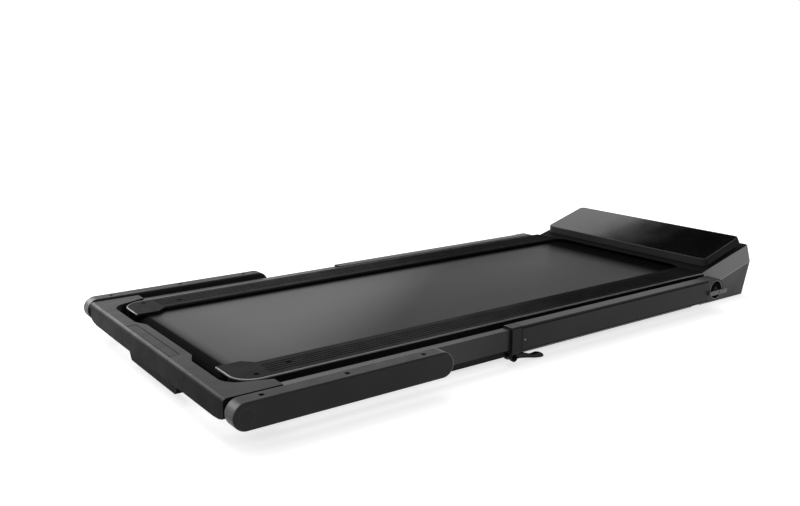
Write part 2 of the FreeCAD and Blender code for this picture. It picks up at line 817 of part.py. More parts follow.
round_off(cap, "cap_rounding - rail_skirt", stands_at("cap_rear + rail_skirt", "rail_reach - rail_skirt"))
round_off(cap, "cap_rounding", stands_at("cap_rear", "rail_reach"))


def on_cap_rim(edge):
    """Whether an edge lies along the outer side of the cap's top."""
    box = edge.BoundBox
    slack = measure("running_clearance")
    at_top = box.ZMin > measure("rail_top_level") - slack
    at_rear = box.XMax < measure("cap_rear") + slack
    at_side = box.YMax > measure("rail_reach") - slack
    return at_top and (at_rear or at_side) and box.XMin < measure("cap_front") - slack


dress(cap, "Chamfer", "Size", "rail_edge", on_cap_rim)
carve(cap, "YZ", "cap_rear - overrun", "cap_rear + rail_skirt + overrun",
      circle("tension_bolt_reach", "roller_level", "tension_bolt_radius + running_clearance"))
cap_screw = ("cap_rear + cap_rounding", "cap_screw_reach")
carve(cap, "XY", "rail_top_level - screw_depth", "rail_top_level + overrun",
      circle(*cap_screw, "screw_radius + running_clearance"))
mirrored(cap, "rail_cap_right")

screws = []
for x, y in (cap_screw, rail_screw):
    seat = "rail_top_level - screw_depth"
    head = cylinder("z", "screw_radius", seat, seat + " + screw_height", x, y)
    slot = block(x + " - screw_radius", x + " + screw_radius", y + " - screw_slot_width / 2",
                 y + " + screw_slot_width / 2", seat + " + screw_height / 2",
                 seat + " + screw_height + overrun")
    screws += both(cut(head, slot))
group("rail_screws", screws)

# Drive
can = cylinder("y", "motor_radius", "motor_reach", "motor_reach + motor_length", "motor_x", "roller_level")
can_room = cylinder("y", "motor_radius - motor_wall", "motor_reach", "motor_reach + motor_length", "motor_x",
                    "roller_level")
node(cut(can, can_room), "motor_can")
end_caps = []
for low in ("motor_reach - motor_cap_width", "motor_reach + motor_length"):
    high = low + " + motor_cap_width"
    disc = cylinder("y", "motor_radius", low, high, "motor_x", "roller_level")
    hole = cylinder("y", "shaft_radius + running_clearance", low, high, "motor_x", "roller_level")
    end_caps.append(cut(disc, hole))
group("motor_end_caps", end_caps)
rotor = new_body("motor_rotor")
revolve(rotor, "motor_x", "roller_level", ("0", "motor_reach - motor_cap_width - rotor_end"),
        ("shaft_radius", "motor_reach - motor_cap_width - rotor_end"),
        ("shaft_radius", "motor_reach + rotor_inset"), ("rotor_radius", "motor_reach + rotor_inset"),
        ("rotor_radius", "motor_reach + motor_length - rotor_inset"),
        ("shaft_radius", "motor_reach + motor_length - rotor_inset"), ("shaft_radius", "pulley_outer_reach"),
        ("0", "pulley_outer_reach"))


def pulley(label, x, radius, bore):
    """A flanged drum for the drive belt."""
    wheel = new_body(label)
    rim = radius + " + pulley_flange"
    inner = "pulley_inner_reach + pulley_flange_width"
    outer = "pulley_outer_reach - pulley_flange_width"
    hole = bore + " + running_clearance"
    revolve(wheel, x, "roller_level", (hole, "pulley_inner_reach"), (rim, "pulley_inner_reach"), (rim, inner),
            (radius, inner), (radius, outer), (rim, outer), (rim, "pulley_outer_reach"),
            (hole, "pulley_outer_reach"))


pulley("front_pulley", "rear + front_roller_at", "pulley_radius", "spigot_radius")
pulley("motor_pulley", "motor_x", "motor_pulley_radius", "shaft_radius")


def drive_loop(grown):
    """The area that a belt round both pulleys encloses, its radii grown by a size."""
    large = measure("pulley_radius") + grown
    small = measure("motor_pulley_radius") + grown
    span = measure("motor_at - front_roller_at")
    lean = (large - small) / span
    rise = (1 - lean * lean) ** 0.5
    level = measure("roller_level")
    base = Vector(measure("rear + front_roller_at"), 0, level)
    tip = base + Vector(span, 0, 0)
    up = Vector(lean, 0, rise)
    down = Vector(lean, 0, -rise)
    edges = [
        Part.LineSegment(base + up * large, tip + up * small).toShape(),
        Part.Arc(tip + up * small, tip + Vector(small, 0, 0), tip + down * small).toShape(),
        Part.LineSegment(tip + down * small, base + down * large).toShape(),
        Part.Arc(base + down * large, base - Vector(large, 0, 0), base + up * large).toShape(),
    ]
    face = Part.Face(Part.Wire(edges))
    prism = face.extrude(Vector(0, measure("drive_belt_width"), 0))
    prism.translate(Vector(0, measure("pulley_inner_reach + (pulley_width - drive_belt_width) / 2"), 0))
    return prism


drive_belt = doc.addObject("Part::Feature", "drive_belt")
inner_gap = measure("belt_slack")
drive_belt.Shape = drive_loop(inner_gap + measure("drive_belt_thickness")).cut(drive_loop(inner_gap))
node(drive_belt, "drive_belt")

saddle = block("motor_x - saddle_length / 2", "motor_x + saddle_length / 2",
               "motor_reach + (motor_length - saddle_width) / 2",
               "motor_reach + (motor_length + saddle_width) / 2",
               "hood_floor_top", "saddle_top_level")
saddle_room = cylinder("y", "motor_radius + running_clearance", "motor_reach", "motor_reach + motor_length",
                       "motor_x", "roller_level")
node(cut(saddle, saddle_room), "motor_bracket")

sink = new_body("controller_heat_sink")
extrude(sink, "XY", "hood_floor_top", "sink_top",
        rectangle("sink_x", "sink_x + sink_length", "-sink_reach", "sink_width - sink_reach"))
sink_fins = 6
for number in range(sink_fins):
    low = "sink_x + (%d + 1 / 4) * sink_length / %d" % (number, sink_fins)
    carve(sink, "XZ", "-sink_reach - overrun", "sink_width - sink_reach + overrun",
          rectangle(low, low + " + sink_length / %d / 2" % sink_fins, "hood_floor_top - overrun",
                    "hood_floor_top + sink_height / 2"))
controller = new_body("controller_board")
extrude(controller, "XY", "sink_top", "sink_top + board_sheet",
        rectangle("sink_x", "sink_x + sink_length", "-sink_reach", "sink_width - sink_reach"))
extrude(controller, "XY", "sink_top", "sink_top + capacitor_height",
        circle("sink_x + sink_length / 4", "-sink_reach + sink_width / 4", "capacitor_radius"),
        circle("sink_x + sink_length / 4", "-sink_reach + sink_width / 2", "capacitor_radius"))
extrude(controller, "XY", "sink_top", "sink_top + coil_size",
        rectangle("sink_x + sink_length / 2", "sink_x + sink_length / 2 + coil_size",
                  "-sink_reach + sink_width / 2", "-sink_reach + sink_width / 2 + coil_size"))


# Hood
def hood_section(owner, level, slope, reach, setback, inset, rise):
    """One level of the hood's outline, tilted about its rear edge."""
    sketch = new_sketch(owner, "XY")
    sketch.AttachmentOffset = Placement(Vector(), Rotation(Vector(0, -1, 0), 1))
    tie(sketch, "AttachmentOffset.Base.x", "hood_rear")
    tie(sketch, "AttachmentOffset.Base.z", "%s + %s" % (level, rise))
    tie(sketch, "AttachmentOffset.Rotation.Angle", slope)
    length = "(hood_length - %s - %s) / cos(%s)" % (setback, inset, slope)
    side = "%s - %s" % (reach, inset)
    back = "0" if inset == "0" else "-overrun"
    bend_share = 1 - 0.5 ** 0.5
    half = [(back, side), (length + " - hood_corner", side),
            ("%s - hood_corner * %g" % (length, bend_share), "%s - hood_corner * %g" % (side, bend_share)),
            (length, side + " - hood_corner")]
    polygon(*half, *[(x, "-(%s)" % y) for x, y in reversed(half)])(sketch)
    return sketch


def hood_loft(owner, kind, inset, floor, rise):
    sections = [
        hood_section(owner, "hood_bottom_level", "0", "hood_bottom_reach", "hood_bottom_setback", inset,
                     floor),
        hood_section(owner, "hood_crease_level", "hood_slope", "hood_crease_reach", "0", inset, "0"),
        hood_section(owner, "hood_rim_level", "hood_slope", "hood_rim_reach", "hood_rim_setback", inset,
                     rise),
    ]
    loft = owner.newObject("PartDesign::" + kind, owner.Name + "_loft")
    loft.Profile = sections[0]
    loft.Sections = sections[1:]
    loft.Ruled = True
    owner.Tip = loft


hood_base = new_body("hood_base")
hood_loft(hood_base, "AdditiveLoft", "0", "0", "0")
hood_loft(hood_base, "SubtractiveLoft", "hood_wall", "hood_floor", "sliver")
for near, far in sides("wheel_inner - fork_gap", "wheel_reach + fork_gap"):
    carve(hood_base, "XY", "hood_bottom_level - overrun", "hood_floor_top + sliver",
          rectangle("wheel_x - wheel_radius - wheel_room", "wheel_x + wheel_radius + wheel_room", near, far))
carve(hood_base, "YZ", "power_front - power_depth", "front + overrun",
      rectangle("power_low", "power_high", "power_bottom_level", "power_bottom_level + power_height"))

cover = new_body("hood_cover")
cover_half = "hood_rim_reach - cover_side_inset"
extrude(cover, "XZ", "-(%s)" % cover_half, cover_half, polygon(
    ("cover_rear", "cover_rear_level"), ("cover_front", "cover_front_level"),
    ("cover_front", "cover_front_level + cover_thickness"),
    ("cover_rear", "cover_rear_level + cover_thickness")))
lip_half = "rail_inner_reach - cover_lip_margin"
carve(cover, "XY", "0", "cover_front_level", polygon(
    ("cover_rear - overrun", "-rail_inner_reach"), ("cover_rear", "-rail_inner_reach"),
    ("cover_lip", "-(%s)" % lip_half), ("cover_lip", lip_half), ("cover_rear", "rail_inner_reach"),
    ("cover_rear - overrun", "rail_inner_reach")))
pedestal_half = "panel_reach - pedestal_inset"
stand_rear = "panel_low_x + pedestal_inset * cos(panel_slope)"
stand_front = "panel_low_x + (panel_length - pedestal_inset) * cos(panel_slope)"
stand_top = "panel_low_level + (%s - panel_low_x) * tan(panel_slope)"
stand_foot = "hood_rim_level + cover_thickness / 2 + (%s - hood_rear) * tan(hood_slope)"
extrude(cover, "XZ", "-(%s)" % pedestal_half, pedestal_half, polygon(
    (stand_rear, stand_foot % ("(%s)" % stand_rear)), (stand_front, stand_foot % ("(%s)" % stand_front)),
    (stand_front, stand_top % ("(%s)" % stand_front)), (stand_rear, stand_top % ("(%s)" % stand_rear))))


def panel_body(label):
    """A body in the tilted frame of the display panel: its rear lower edge at zero."""
    body = new_body(label)
    body.Placement = Placement(Vector(), Rotation(Vector(0, -1, 0), 1))
    tie(body, "Placement.Base.x", "panel_low_x")
    tie(body, "Placement.Base.z", "panel_low_level")
    tie(body, "Placement.Rotation.Angle", "panel_slope")
    return body


def panel_plate(inset, radius):
    """The panel's outline, drawn in by an inset."""
    return rounded(inset, "panel_length - (%s)" % inset, "%s - panel_reach" % inset,
                   "panel_reach - (%s)" % inset, radius)


bezel = panel_body("panel_bezel")
bezel_pad = extrude(bezel, "XY", "0", "panel_depth", panel_plate("-panel_flare",
                                                                 "panel_corner_radius + panel_flare"))
tie(bezel_pad, "TaperAngle", "-atan(panel_flare / panel_depth)")
lens_floor = "panel_depth - lens_thickness"
well_floor = lens_floor + " - display_board_well"
carve(bezel, "XY", lens_floor, "panel_depth + overrun", panel_plate("panel_rim",
                                                                    "panel_corner_radius - panel_rim"))
carve(bezel, "XY", well_floor, lens_floor,
      rectangle("display_board_inset", "panel_length - display_board_inset",
                "display_board_inset - panel_reach",
                "panel_reach - display_board_inset"))
lens = panel_body("panel_lens")
extrude(lens, "XY", lens_floor, "panel_depth",
        panel_plate("panel_rim + lens_gap", "panel_corner_radius - panel_rim - lens_gap"))
display_board = panel_body("display_board")
extrude(display_board, "XY", well_floor, well_floor + " + board_sheet",
        rectangle("display_board_inset + lens_gap", "panel_length - display_board_inset - lens_gap",
                  "display_board_inset + lens_gap - panel_reach",
                  "panel_reach - display_board_inset - lens_gap"))

hood_screws = []
for number in range(2):
    hood_screws += both(cylinder("z", "hood_screw_radius", "hood_bottom_level - hood_screw_height",
                                 "hood_bottom_level",
                                 "rear + hood_screw_at + %d * hood_screw_spacing" % number,
                                 "hood_screw_reach"))
group("hood_screws", hood_screws)

# Power socket plate with its rocker switch
power = new_body("power_socket_plate")
extrude(power, "YZ", "power_front - power_depth", "power_front",
        rectangle("power_low + lens_gap", "power_high - lens_gap", "power_bottom_level + lens_gap",
                  "power_bottom_level + power_height - lens_gap"))
socket_low = "power_low + socket_inset"
carve(power, "YZ", "power_front - socket_depth", "power_front",
      rectangle(socket_low, socket_low + " + socket_width", "rocker_level - socket_height / 2",
                "rocker_level + socket_height / 2"))
socket_pins = []
for number in range(3):
    low = socket_low + " + socket_width * %d / 4 - socket_pin_width / 2" % (number + 1)
    socket_pins.append(rectangle(low, low + " + socket_pin_width", "rocker_level - socket_pin_height / 2",
                                 "rocker_level + socket_pin_height / 2"))
extrude(power, "YZ", "power_front - socket_depth", "power_front - socket_depth / 3", *socket_pins)
carve(power, "YZ", "rocker_x - rocker_depth", "power_front",
      rectangle("rocker_y - rocker_width / 2", "rocker_y + rocker_width / 2",
                "rocker_level - rocker_height / 2",
                "rocker_level + rocker_height / 2"))
rocker_sides = ("rocker_y - rocker_width / 2", "rocker_y + rocker_width / 2")
extrude(power, "XZ", *rocker_sides, circle("rocker_x", "rocker_level", "rocker_pin_radius"))
rocker = new_body("power_rocker")
rocker.Placement = Placement(Vector(), Rotation(Vector(0, 1, 0), 1))
tie(rocker, "Placement.Base.x", "rocker_x")
tie(rocker, "Placement.Base.z", "rocker_level")
tie(rocker, "Placement.Rotation.Angle", "rocker_tilt")
rocker_half = "rocker_height / 2 - 2 * rocker_gap"
extrude(rocker, "XZ", "rocker_y - rocker_width / 2 + rocker_gap",
        "rocker_y + rocker_width / 2 - rocker_gap", polygon(
    ("-rocker_depth / 2", "-rocker_height / 4"), ("rocker_depth * 3 / 4", "-(%s)" % rocker_half),
    ("rocker_depth", "-(%s)" % rocker_half), ("rocker_depth * 2 / 3", "0"), ("rocker_depth", rocker_half),
    ("rocker_depth * 3 / 4", rocker_half), ("-rocker_depth / 2", "rocker_height / 4")))
carve(rocker, "XZ", *rocker_sides, circle("0", "0", "rocker_pin_radius + running_clearance"))

# Feet and transport wheels
feet = []
for x in ("rear + foot_rear_at", "rear + foot_front_at"):
    feet += both(cylinder("z", "foot_radius", "0", "frame_bottom_level", x, "frame_middle"))
group("floor_feet", feet)

fork_x = ("wheel_x - fork_width / 2", "wheel_x + fork_width / 2")
fork_inner = "wheel_inner - fork_gap"
fork_outer = "wheel_reach + fork_gap"
fork_y = (fork_inner + " - fork_plate", fork_outer + " + fork_plate")
bridge_level = "wheel_level + wheel_radius + wheel_room"
fork = fuse(block(*fork_x, fork_y[0], fork_inner, "hood_floor_top", bridge_level),
            block(*fork_x, fork_outer, fork_y[1], "hood_floor_top", bridge_level),
            block(*fork_x, *fork_y, bridge_level, bridge_level + " + fork_plate"))
axle_hole = cylinder("y", "axle_radius", *fork_y, "wheel_x", "wheel_level")
group("wheel_forks", both(cut(fork, axle_hole)))
group("wheel_axles", both(cylinder("y", "axle_radius", *fork_y, "wheel_x", "wheel_level")))
wheel = new_body("wheel_left")
wheel_edge = "wheel_width / 8"
revolve(wheel, "wheel_x", "wheel_level", ("axle_radius + running_clearance", "wheel_inner"),
        ("wheel_radius - " + wheel_edge, "wheel_inner"), ("wheel_radius", "wheel_inner + " + wheel_edge),
        ("wheel_radius", "wheel_reach - " + wheel_edge), ("wheel_radius - " + wheel_edge, "wheel_reach"),
        ("axle_radius + running_clearance", "wheel_reach"))
mirrored(wheel, "wheel_right")

# Hinge brackets, sleeves and knuckles
bracket = new_body("hinge_bracket_left")
extrude(bracket, "XZ", "frame_reach", "sleeve_inner - hinge_gap",
        rectangle("rear + bracket_at", "rear + bracket_at + bracket_length", "bracket_bottom_level",
                  "bracket_top_level"))
extrude(bracket, "XZ", "sleeve_inner - hinge_gap", "sleeve_reach - seat_clearance",
        circle("hinge_x", "sleeve_level", "hinge_pin_radius"))
mirrored(bracket, "hinge_bracket_right")

sleeve = hollow_bar("sleeve_left", "rear + sleeve_at", "rear + sleeve_end_at", "sleeve_inner", "sleeve_reach",
                    "sleeve_bottom", "sleeve_top_level", "sleeve_wall", "sleeve_rounding")
mirrored(sleeve, "sleeve_right")

knuckle = new_body("knuckle_left")
knuckle_radius = "sleeve_depth / 2"
extrude(knuckle, "XZ", "sleeve_inner", "sleeve_reach", circle("hinge_x", "sleeve_level", knuckle_radius))
extrude(knuckle, "XZ", "sleeve_inner", "sleeve_reach",
        rectangle("rear + sleeve_end_at", "hinge_x", "sleeve_bottom", "sleeve_top_level"))
extrude(knuckle, "YZ", "rear + sleeve_end_at - knuckle_tongue", "rear + sleeve_end_at",
        rectangle("guide_low", "guide_high", "guide_bottom", "guide_top"))
carve(knuckle, "XZ", "sleeve_inner - overrun", "sleeve_reach + overrun",
      circle("hinge_x", "sleeve_level", "hinge_pin_radius + running_clearance"))
carve(knuckle, "XZ", "sleeve_reach - knuckle_recess_depth", "sleeve_reach + overrun",
      circle("hinge_x", "sleeve_level", "knuckle_recess_radius"))
mirrored(knuckle, "knuckle_right")

lock_lever = new_body("lock_lever_left")
lock_face = "sleeve_reach + seat_clearance"
lock_bottom = "sleeve_level - lock_lever_drop - lock_lever_height / 2"
extrude(lock_lever, "XZ", lock_face + " - lock_hub_width", lock_face,
        circle("hinge_x", "sleeve_level", "lock_hub_radius"))
lock_middle = "hinge_x + lock_lever_shift"
extrude(lock_lever, "XZ", lock_face, lock_face + " + lock_lever_thickness",
        rounded(lock_middle + " - lock_lever_length / 2", lock_middle + " + lock_lever_length / 2",
                lock_bottom,
                lock_bottom + " + lock_lever_height", "lock_lever_height * 2 / 5"))
carve(lock_lever, "XZ", lock_face + " - lock_hub_width - overrun", lock_face,
      circle("hinge_x", "sleeve_level", "hinge_pin_radius + running_clearance"))
carve(lock_lever, "XZ", lock_face + " + lock_lever_thickness / 3",
      lock_face + " + lock_lever_thickness + overrun",
      circle("hinge_x + lock_hole_shift", "sleeve_level - lock_lever_drop", "lock_hole_radius"))
mirrored(lock_lever, "lock_lever_right")

# Clamp collars and cam levers
collar = new_body("collar_left")
extrude(collar, "YZ", "rear + collar_at", "rear + sleeve_at",
        rectangle("sleeve_inner", "sleeve_reach", "sleeve_bottom", "sleeve_top_level"))
round_off(collar, "sleeve_rounding", lambda edge: lies_along(edge, 0))
extrude(collar, "YZ", "rear + sleeve_at", "rear + sleeve_at + collar_tongue",
        rectangle("guide_low", "guide_high", "guide_bottom", "guide_top"))
for low in ("ear_inner", "ear_outer"):
    high = low + " + ear_width"
    extrude(collar, "XZ", low, high, circle("ear_middle", "ear_level", "ear_radius"))
    extrude(collar, "XZ", low, high, rectangle("ear_middle - ear_radius", "ear_middle + ear_radius",
                                               "ear_level",
                                               "sleeve_bottom + sleeve_rounding"))
carve(collar, "YZ", "rear + collar_at - overrun", "rear + sleeve_at + collar_tongue + overrun",
      rectangle("slot_low", "slot_high", "slot_bottom", "slot_top"))
carve(collar, "XZ", "ear_inner - overrun", "ear_outer + ear_width + overrun",
      circle("ear_middle", "ear_level", "clamp_bolt_radius"))
mirrored(collar, "collar_right")

bolt_ends = ("ear_inner - clamp_bolt_head", "ear_inner", "ear_outer + ear_width",
             "ear_outer + ear_width + clamp_bolt_head")
clamp_bolt = fuse(
    cylinder("y", "clamp_bolt_radius", bolt_ends[1], bolt_ends[2], "ear_middle", "ear_level"),
    cylinder("y", "clamp_head_radius", bolt_ends[0], bolt_ends[1], "ear_middle", "ear_level"),
    cylinder("y", "clamp_head_radius", bolt_ends[2], bolt_ends[3], "ear_middle", "ear_level"))
group("clamp_bolts", both(clamp_bolt))

lever = new_body("clamp_lever_left")
lever_y = ("ear_inner + ear_width + seat_clearance", "ear_outer - seat_clearance")
extrude(lever, "XZ", *lever_y, circle("ear_middle", "ear_level", "clamp_hub_radius"))
lever_shares = ((0, -0.38), (0.24, -0.4), (0.49, -0.62), (0.73, -0.88), (0.9, -1), (0.99, -0.98), (1, -0.8),
                (0.95, -0.5), (0.84, -0.36), (0.65, -0.42), (0.42, -0.02), (0.24, 0.2), (0, 0.38))
extrude(lever, "XZ", *lever_y, polygon(
    *[("ear_middle + clamp_lever_length * %g" % along, "ear_level + clamp_lever_drop * %g" % rise)
      for along, rise in lever_shares]))
carve(lever, "XZ", lever_y[0] + " - overrun", lever_y[1] + " + overrun",
      circle("ear_middle", "ear_level", "clamp_bolt_radius + running_clearance"))
mirrored(lever, "clamp_lever_right")

# Inner tubes
tube = hollow_bar("inner_tube_left", "rear + tube_at", "rear + tube_end_at", "tube_low", "tube_high",
                  "tube_bottom", "tube_top", "tube_wall")
extrude(tube, "YZ", "rear + tube_end_at", "rear + tube_end_at + tube_guide_length",
        rectangle("guide_low", "guide_high", "guide_bottom", "guide_top"))
mirrored(tube, "inner_tube_right")


# Crossbar
def crossbar_outline():
    """The bar and its two arms, seen from above."""
    half = [("crossbar_rear", "crossbar_reach"), ("arm_end", "crossbar_reach"), ("arm_end", "arm_end_reach"),
            ("crossbar_inner", "arm_root_reach")]
    return polygon(*half, *[(x, "-(%s)" % y) for x, y in reversed(half)])


def crossbar_room():
    """The hollow inside the bar and its arms, seen from above."""
    half = [("crossbar_rear + crossbar_rear_run", "crossbar_reach - crossbar_wall"),
            ("arm_end - crossbar_wall", "crossbar_reach - crossbar_wall"),
            ("arm_end - crossbar_wall", "room_low"), ("crossbar_inner - crossbar_wall", "room_low")]
    other = [(x, "-(%s)" % y) for x, y in reversed(half)]
    return polygon(*half, *other)


def round_elbows(owner):
    """Round the inside corners between the bar and its arms."""
    left = stands_at("crossbar_inner", "arm_root_reach")
    right = stands_at("crossbar_inner", "-arm_root_reach")
    round_off(owner, "crossbar_elbow_radius", lambda edge: left(edge) or right(edge))


def tube_sockets(owner, low, high):
    """Let the inner tubes in through the ends of the arms."""
    for near, far in sides("slot_low", "slot_high"):
        carve(owner, "YZ", "rear + tube_at - seat_clearance", "arm_end + overrun", rectangle(near, far,
                                                                                             low, high))


crossbar = new_body("crossbar_cover")
extrude(crossbar, "XY", "crossbar_split_level", "crossbar_top_level", crossbar_outline())
round_elbows(crossbar)
extrude(crossbar, "XY", "bump_bottom_level", "crossbar_top_level", polygon(
    ("crossbar_inner - crossbar_wall", "-bump_reach"), ("crossbar_inner", "-bump_reach"),
    ("crossbar_inner + bump_depth", "-bump_front_reach"), ("crossbar_inner + bump_depth", "bump_front_reach"),
    ("crossbar_inner", "bump_reach"), ("crossbar_inner - crossbar_wall", "bump_reach")))
bump_corners = [stands_at(x, side + y) for x, y in (("crossbar_inner", "bump_reach"),
                                                    ("crossbar_inner + bump_depth", "bump_front_reach"))
                for side in ("", "-")]
round_off(crossbar, "bump_rounding", lambda edge: any(corner(edge) for corner in bump_corners))
rear_face = measure("crossbar_rear")
round_off(crossbar, "crossbar_rear_run", lambda edge: lies_along(edge, 1) and math.isclose(
    edge.BoundBox.XMax, rear_face, abs_tol=measure("running_clearance")) and math.isclose(
    edge.BoundBox.ZMin, measure("crossbar_top_level"), abs_tol=measure("running_clearance")))
carve(crossbar, "XY", "crossbar_split_level - overrun", "crossbar_top_level - crossbar_wall", crossbar_room())
carve(crossbar, "XY", "crossbar_top_level - display_recess", "crossbar_top_level + overrun",
      rectangle("crossbar_rear + crossbar_rear_run", "crossbar_rear + crossbar_rear_run + display_depth",
                "display_shift - display_reach", "display_shift + display_reach"))
tube_sockets(crossbar, "crossbar_split_level - overrun", "slot_top")
carve(crossbar, "XZ", "-crossbar_reach - overrun", "crossbar_reach + overrun",
      circle("armrest_pivot", "armrest_level", "armrest_pin_radius + running_clearance"))

tray = new_body("crossbar_tray")
extrude(tray, "XY", "crossbar_bottom_level", "crossbar_split_level", crossbar_outline())
round_elbows(tray)
for near, far in sides("arm_end_reach", "crossbar_reach"):
    extrude(tray, "XY", "arm_bottom_level", "crossbar_bottom_level", rectangle("crossbar_inner",
                                                                               "arm_end", near, far))
extrude(tray, "YZ", "crossbar_rear + housing_setback", "crossbar_rear + housing_setback + housing_depth",
        polygon(("display_shift - housing_reach", "crossbar_bottom_level"),
                ("display_shift + housing_reach", "crossbar_bottom_level"),
                ("display_shift + housing_bottom_reach", "housing_bottom_level"),
                ("display_shift - housing_bottom_reach", "housing_bottom_level")))
round_off(tray, "housing_rounding", lambda edge: lies_along(edge, 0) and math.isclose(
    edge.BoundBox.ZMin, measure("housing_bottom_level"), abs_tol=measure("running_clearance")))
corner_shares = ((1, 0), (0.45, 0.2), (0.12, 0.55), (0, 1))
for side in ("", "-"):
    rounding = [(side + "(crossbar_reach - crossbar_corner_run * %g)" % run,
                 "crossbar_bottom_level + crossbar_corner_rise * %g" % rise) for run, rise in corner_shares]
    beyond = side + "(crossbar_reach + overrun)"
    carve(tray, "YZ", "crossbar_rear - overrun", "crossbar_inner", polygon(
        *rounding, (beyond, "crossbar_bottom_level + crossbar_corner_rise"),
        (beyond, "crossbar_bottom_level - overrun"), (rounding[0][0], "crossbar_bottom_level - overrun")))
room_reach = "(crossbar_reach - crossbar_corner_run)"
carve(tray, "XY", "crossbar_bottom_level + crossbar_wall", "crossbar_split_level + overrun",
      rectangle("crossbar_rear + crossbar_rear_run", "crossbar_inner - crossbar_wall", "-" + room_reach,
                room_reach))
carve(tray, "XY", "housing_bottom_level + crossbar_wall", "crossbar_bottom_level + crossbar_wall + overrun",
      rectangle("crossbar_rear + housing_setback + crossbar_wall", "crossbar_inner - crossbar_wall",
                "display_shift + crossbar_wall - housing_bottom_reach",
                "display_shift + housing_bottom_reach - crossbar_wall"))
tube_sockets(tray, "slot_bottom", "crossbar_split_level + overrun")

strip = new_body("console_display")
extrude(strip, "XY", "crossbar_top_level - display_recess",
        "crossbar_top_level - display_recess + display_thickness",
        rectangle("crossbar_rear + crossbar_rear_run + lens_gap",
                  "crossbar_rear + crossbar_rear_run + display_depth - lens_gap",
                  "display_shift - display_reach + lens_gap", "display_shift + display_reach - lens_gap"))

# Armrests and their pivots
bore_end = "armrest_inner + armrest_bore_depth - running_clearance"
pivot_pin = cylinder("y", "armrest_pin_radius", "crossbar_reach - armrest_pin_inset", bore_end,
                     "armrest_pivot",
                     "armrest_level")
flange_seat = "crossbar_reach - crossbar_wall"
pivot_flange = cylinder("y", "armrest_flange_radius", flange_seat + " - armrest_flange_width", flange_seat,
                        "armrest_pivot", "armrest_level")
group("armrest_pivots", both(fuse(pivot_pin, pivot_flange)))

armrest = new_body("armrest_left")
for x in ("armrest_pivot", "rear + armrest_length - armrest_radius"):
    extrude(armrest, "XZ", "armrest_inner", "armrest_reach", circle(x, "armrest_level", "armrest_radius"))
extrude(armrest, "XZ", "armrest_inner", "armrest_reach",
        rectangle("armrest_pivot", "rear + armrest_length - armrest_radius", "armrest_level - armrest_radius",
                  "armrest_top_level"))
armrest_faces = (measure("armrest_inner"), measure("armrest_reach"))
near_enough = measure("running_clearance")
round_off(armrest, "armrest_rounding", lambda edge: edge.BoundBox.YLength < near_enough and
          min(abs(edge.BoundBox.YMin - face) for face in armrest_faces) < near_enough)
extrude(armrest, "XZ", "armrest_inner - armrest_boss_width", "armrest_inner",
        circle("armrest_pivot", "armrest_level", "armrest_boss_radius"))
carve(armrest, "XZ", "armrest_inner - armrest_boss_width - overrun", "armrest_inner + armrest_bore_depth",
      circle("armrest_pivot", "armrest_level", "armrest_pin_radius + running_clearance"))
carve(armrest, "XY", "armrest_top_level - armrest_hole_depth", "armrest_top_level + overrun",
      *[circle("rear + armrest_hole_inset + (armrest_length - 2 * armrest_hole_inset) * %d / 2" % number,
               "armrest_inner + armrest_thickness / 2", "armrest_hole_radius") for number in range(3)])
mirrored(armrest, "armrest_right")

# Checks, then the files
def stop_at(faults):
    if faults:
        raise SystemExit("Faults: " + ", ".join(faults))


doc.recompute()
stop_at([thing.Name for thing in doc.Objects if "Invalid" in thing.State or "Error" in thing.State])
stop_at([thing.Label for thing in NODES if thing.Shape.isNull() or not thing.Shape.isValid()])
cuts = [thing for thing in doc.Objects if thing.TypeId in ("PartDesign::Pocket",
                                                           "PartDesign::SubtractiveLoft")]
stop_at([thing.Name for thing in cuts if thing.Shape.Volume >= thing.BaseFeature.Shape.Volume])
os.makedirs("parts", exist_ok=True)
for thing in NODES:
    thing.Shape.exportStep("parts/%s.step" % thing.Label)
print(len(NODES), "nodes")
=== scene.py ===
import json
import math

import bmesh
import bpy
from mathutils import Matrix, Vector


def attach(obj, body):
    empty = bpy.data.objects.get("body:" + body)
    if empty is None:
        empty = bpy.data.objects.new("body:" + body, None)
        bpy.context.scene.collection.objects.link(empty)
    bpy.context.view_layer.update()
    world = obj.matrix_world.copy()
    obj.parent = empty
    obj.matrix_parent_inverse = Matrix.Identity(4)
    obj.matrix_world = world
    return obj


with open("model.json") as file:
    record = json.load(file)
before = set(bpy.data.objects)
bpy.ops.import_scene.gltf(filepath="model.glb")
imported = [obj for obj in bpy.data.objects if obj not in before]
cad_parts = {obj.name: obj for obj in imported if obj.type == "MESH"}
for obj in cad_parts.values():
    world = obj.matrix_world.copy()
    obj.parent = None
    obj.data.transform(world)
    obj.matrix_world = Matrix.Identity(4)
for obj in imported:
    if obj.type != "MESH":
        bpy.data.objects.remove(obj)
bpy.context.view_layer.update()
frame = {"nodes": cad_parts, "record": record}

NODES = frame["nodes"]
SCENE = bpy.context.scene
UP = Vector((0, 0, 1))
SIDES = (("left", 1), ("right", -1))
REAR = -0.719


def at(from_rear, y, z):
    """A place in metres from millimetres: from the rear end, from the middle plane, above the floor."""
    return Vector((REAR + from_rear / 1000, y / 1000, z / 1000))


def turns(count):
    """Evenly spaced angles round a full turn."""
    return [2 * math.pi * step / count for step in range(count)]


# Camera, solved from the photograph
CAMERA_PLACE = (-1.2398, -1.5149, 0.6042)
CAMERA_YAW = math.radians(54.23)
CAMERA_PITCH = math.radians(12.98)
CAMERA_ROLL = math.radians(-0.16)
CAMERA_LENS = 40.124
CAMERA_SENSOR = 36
CAMERA_REACH = 50


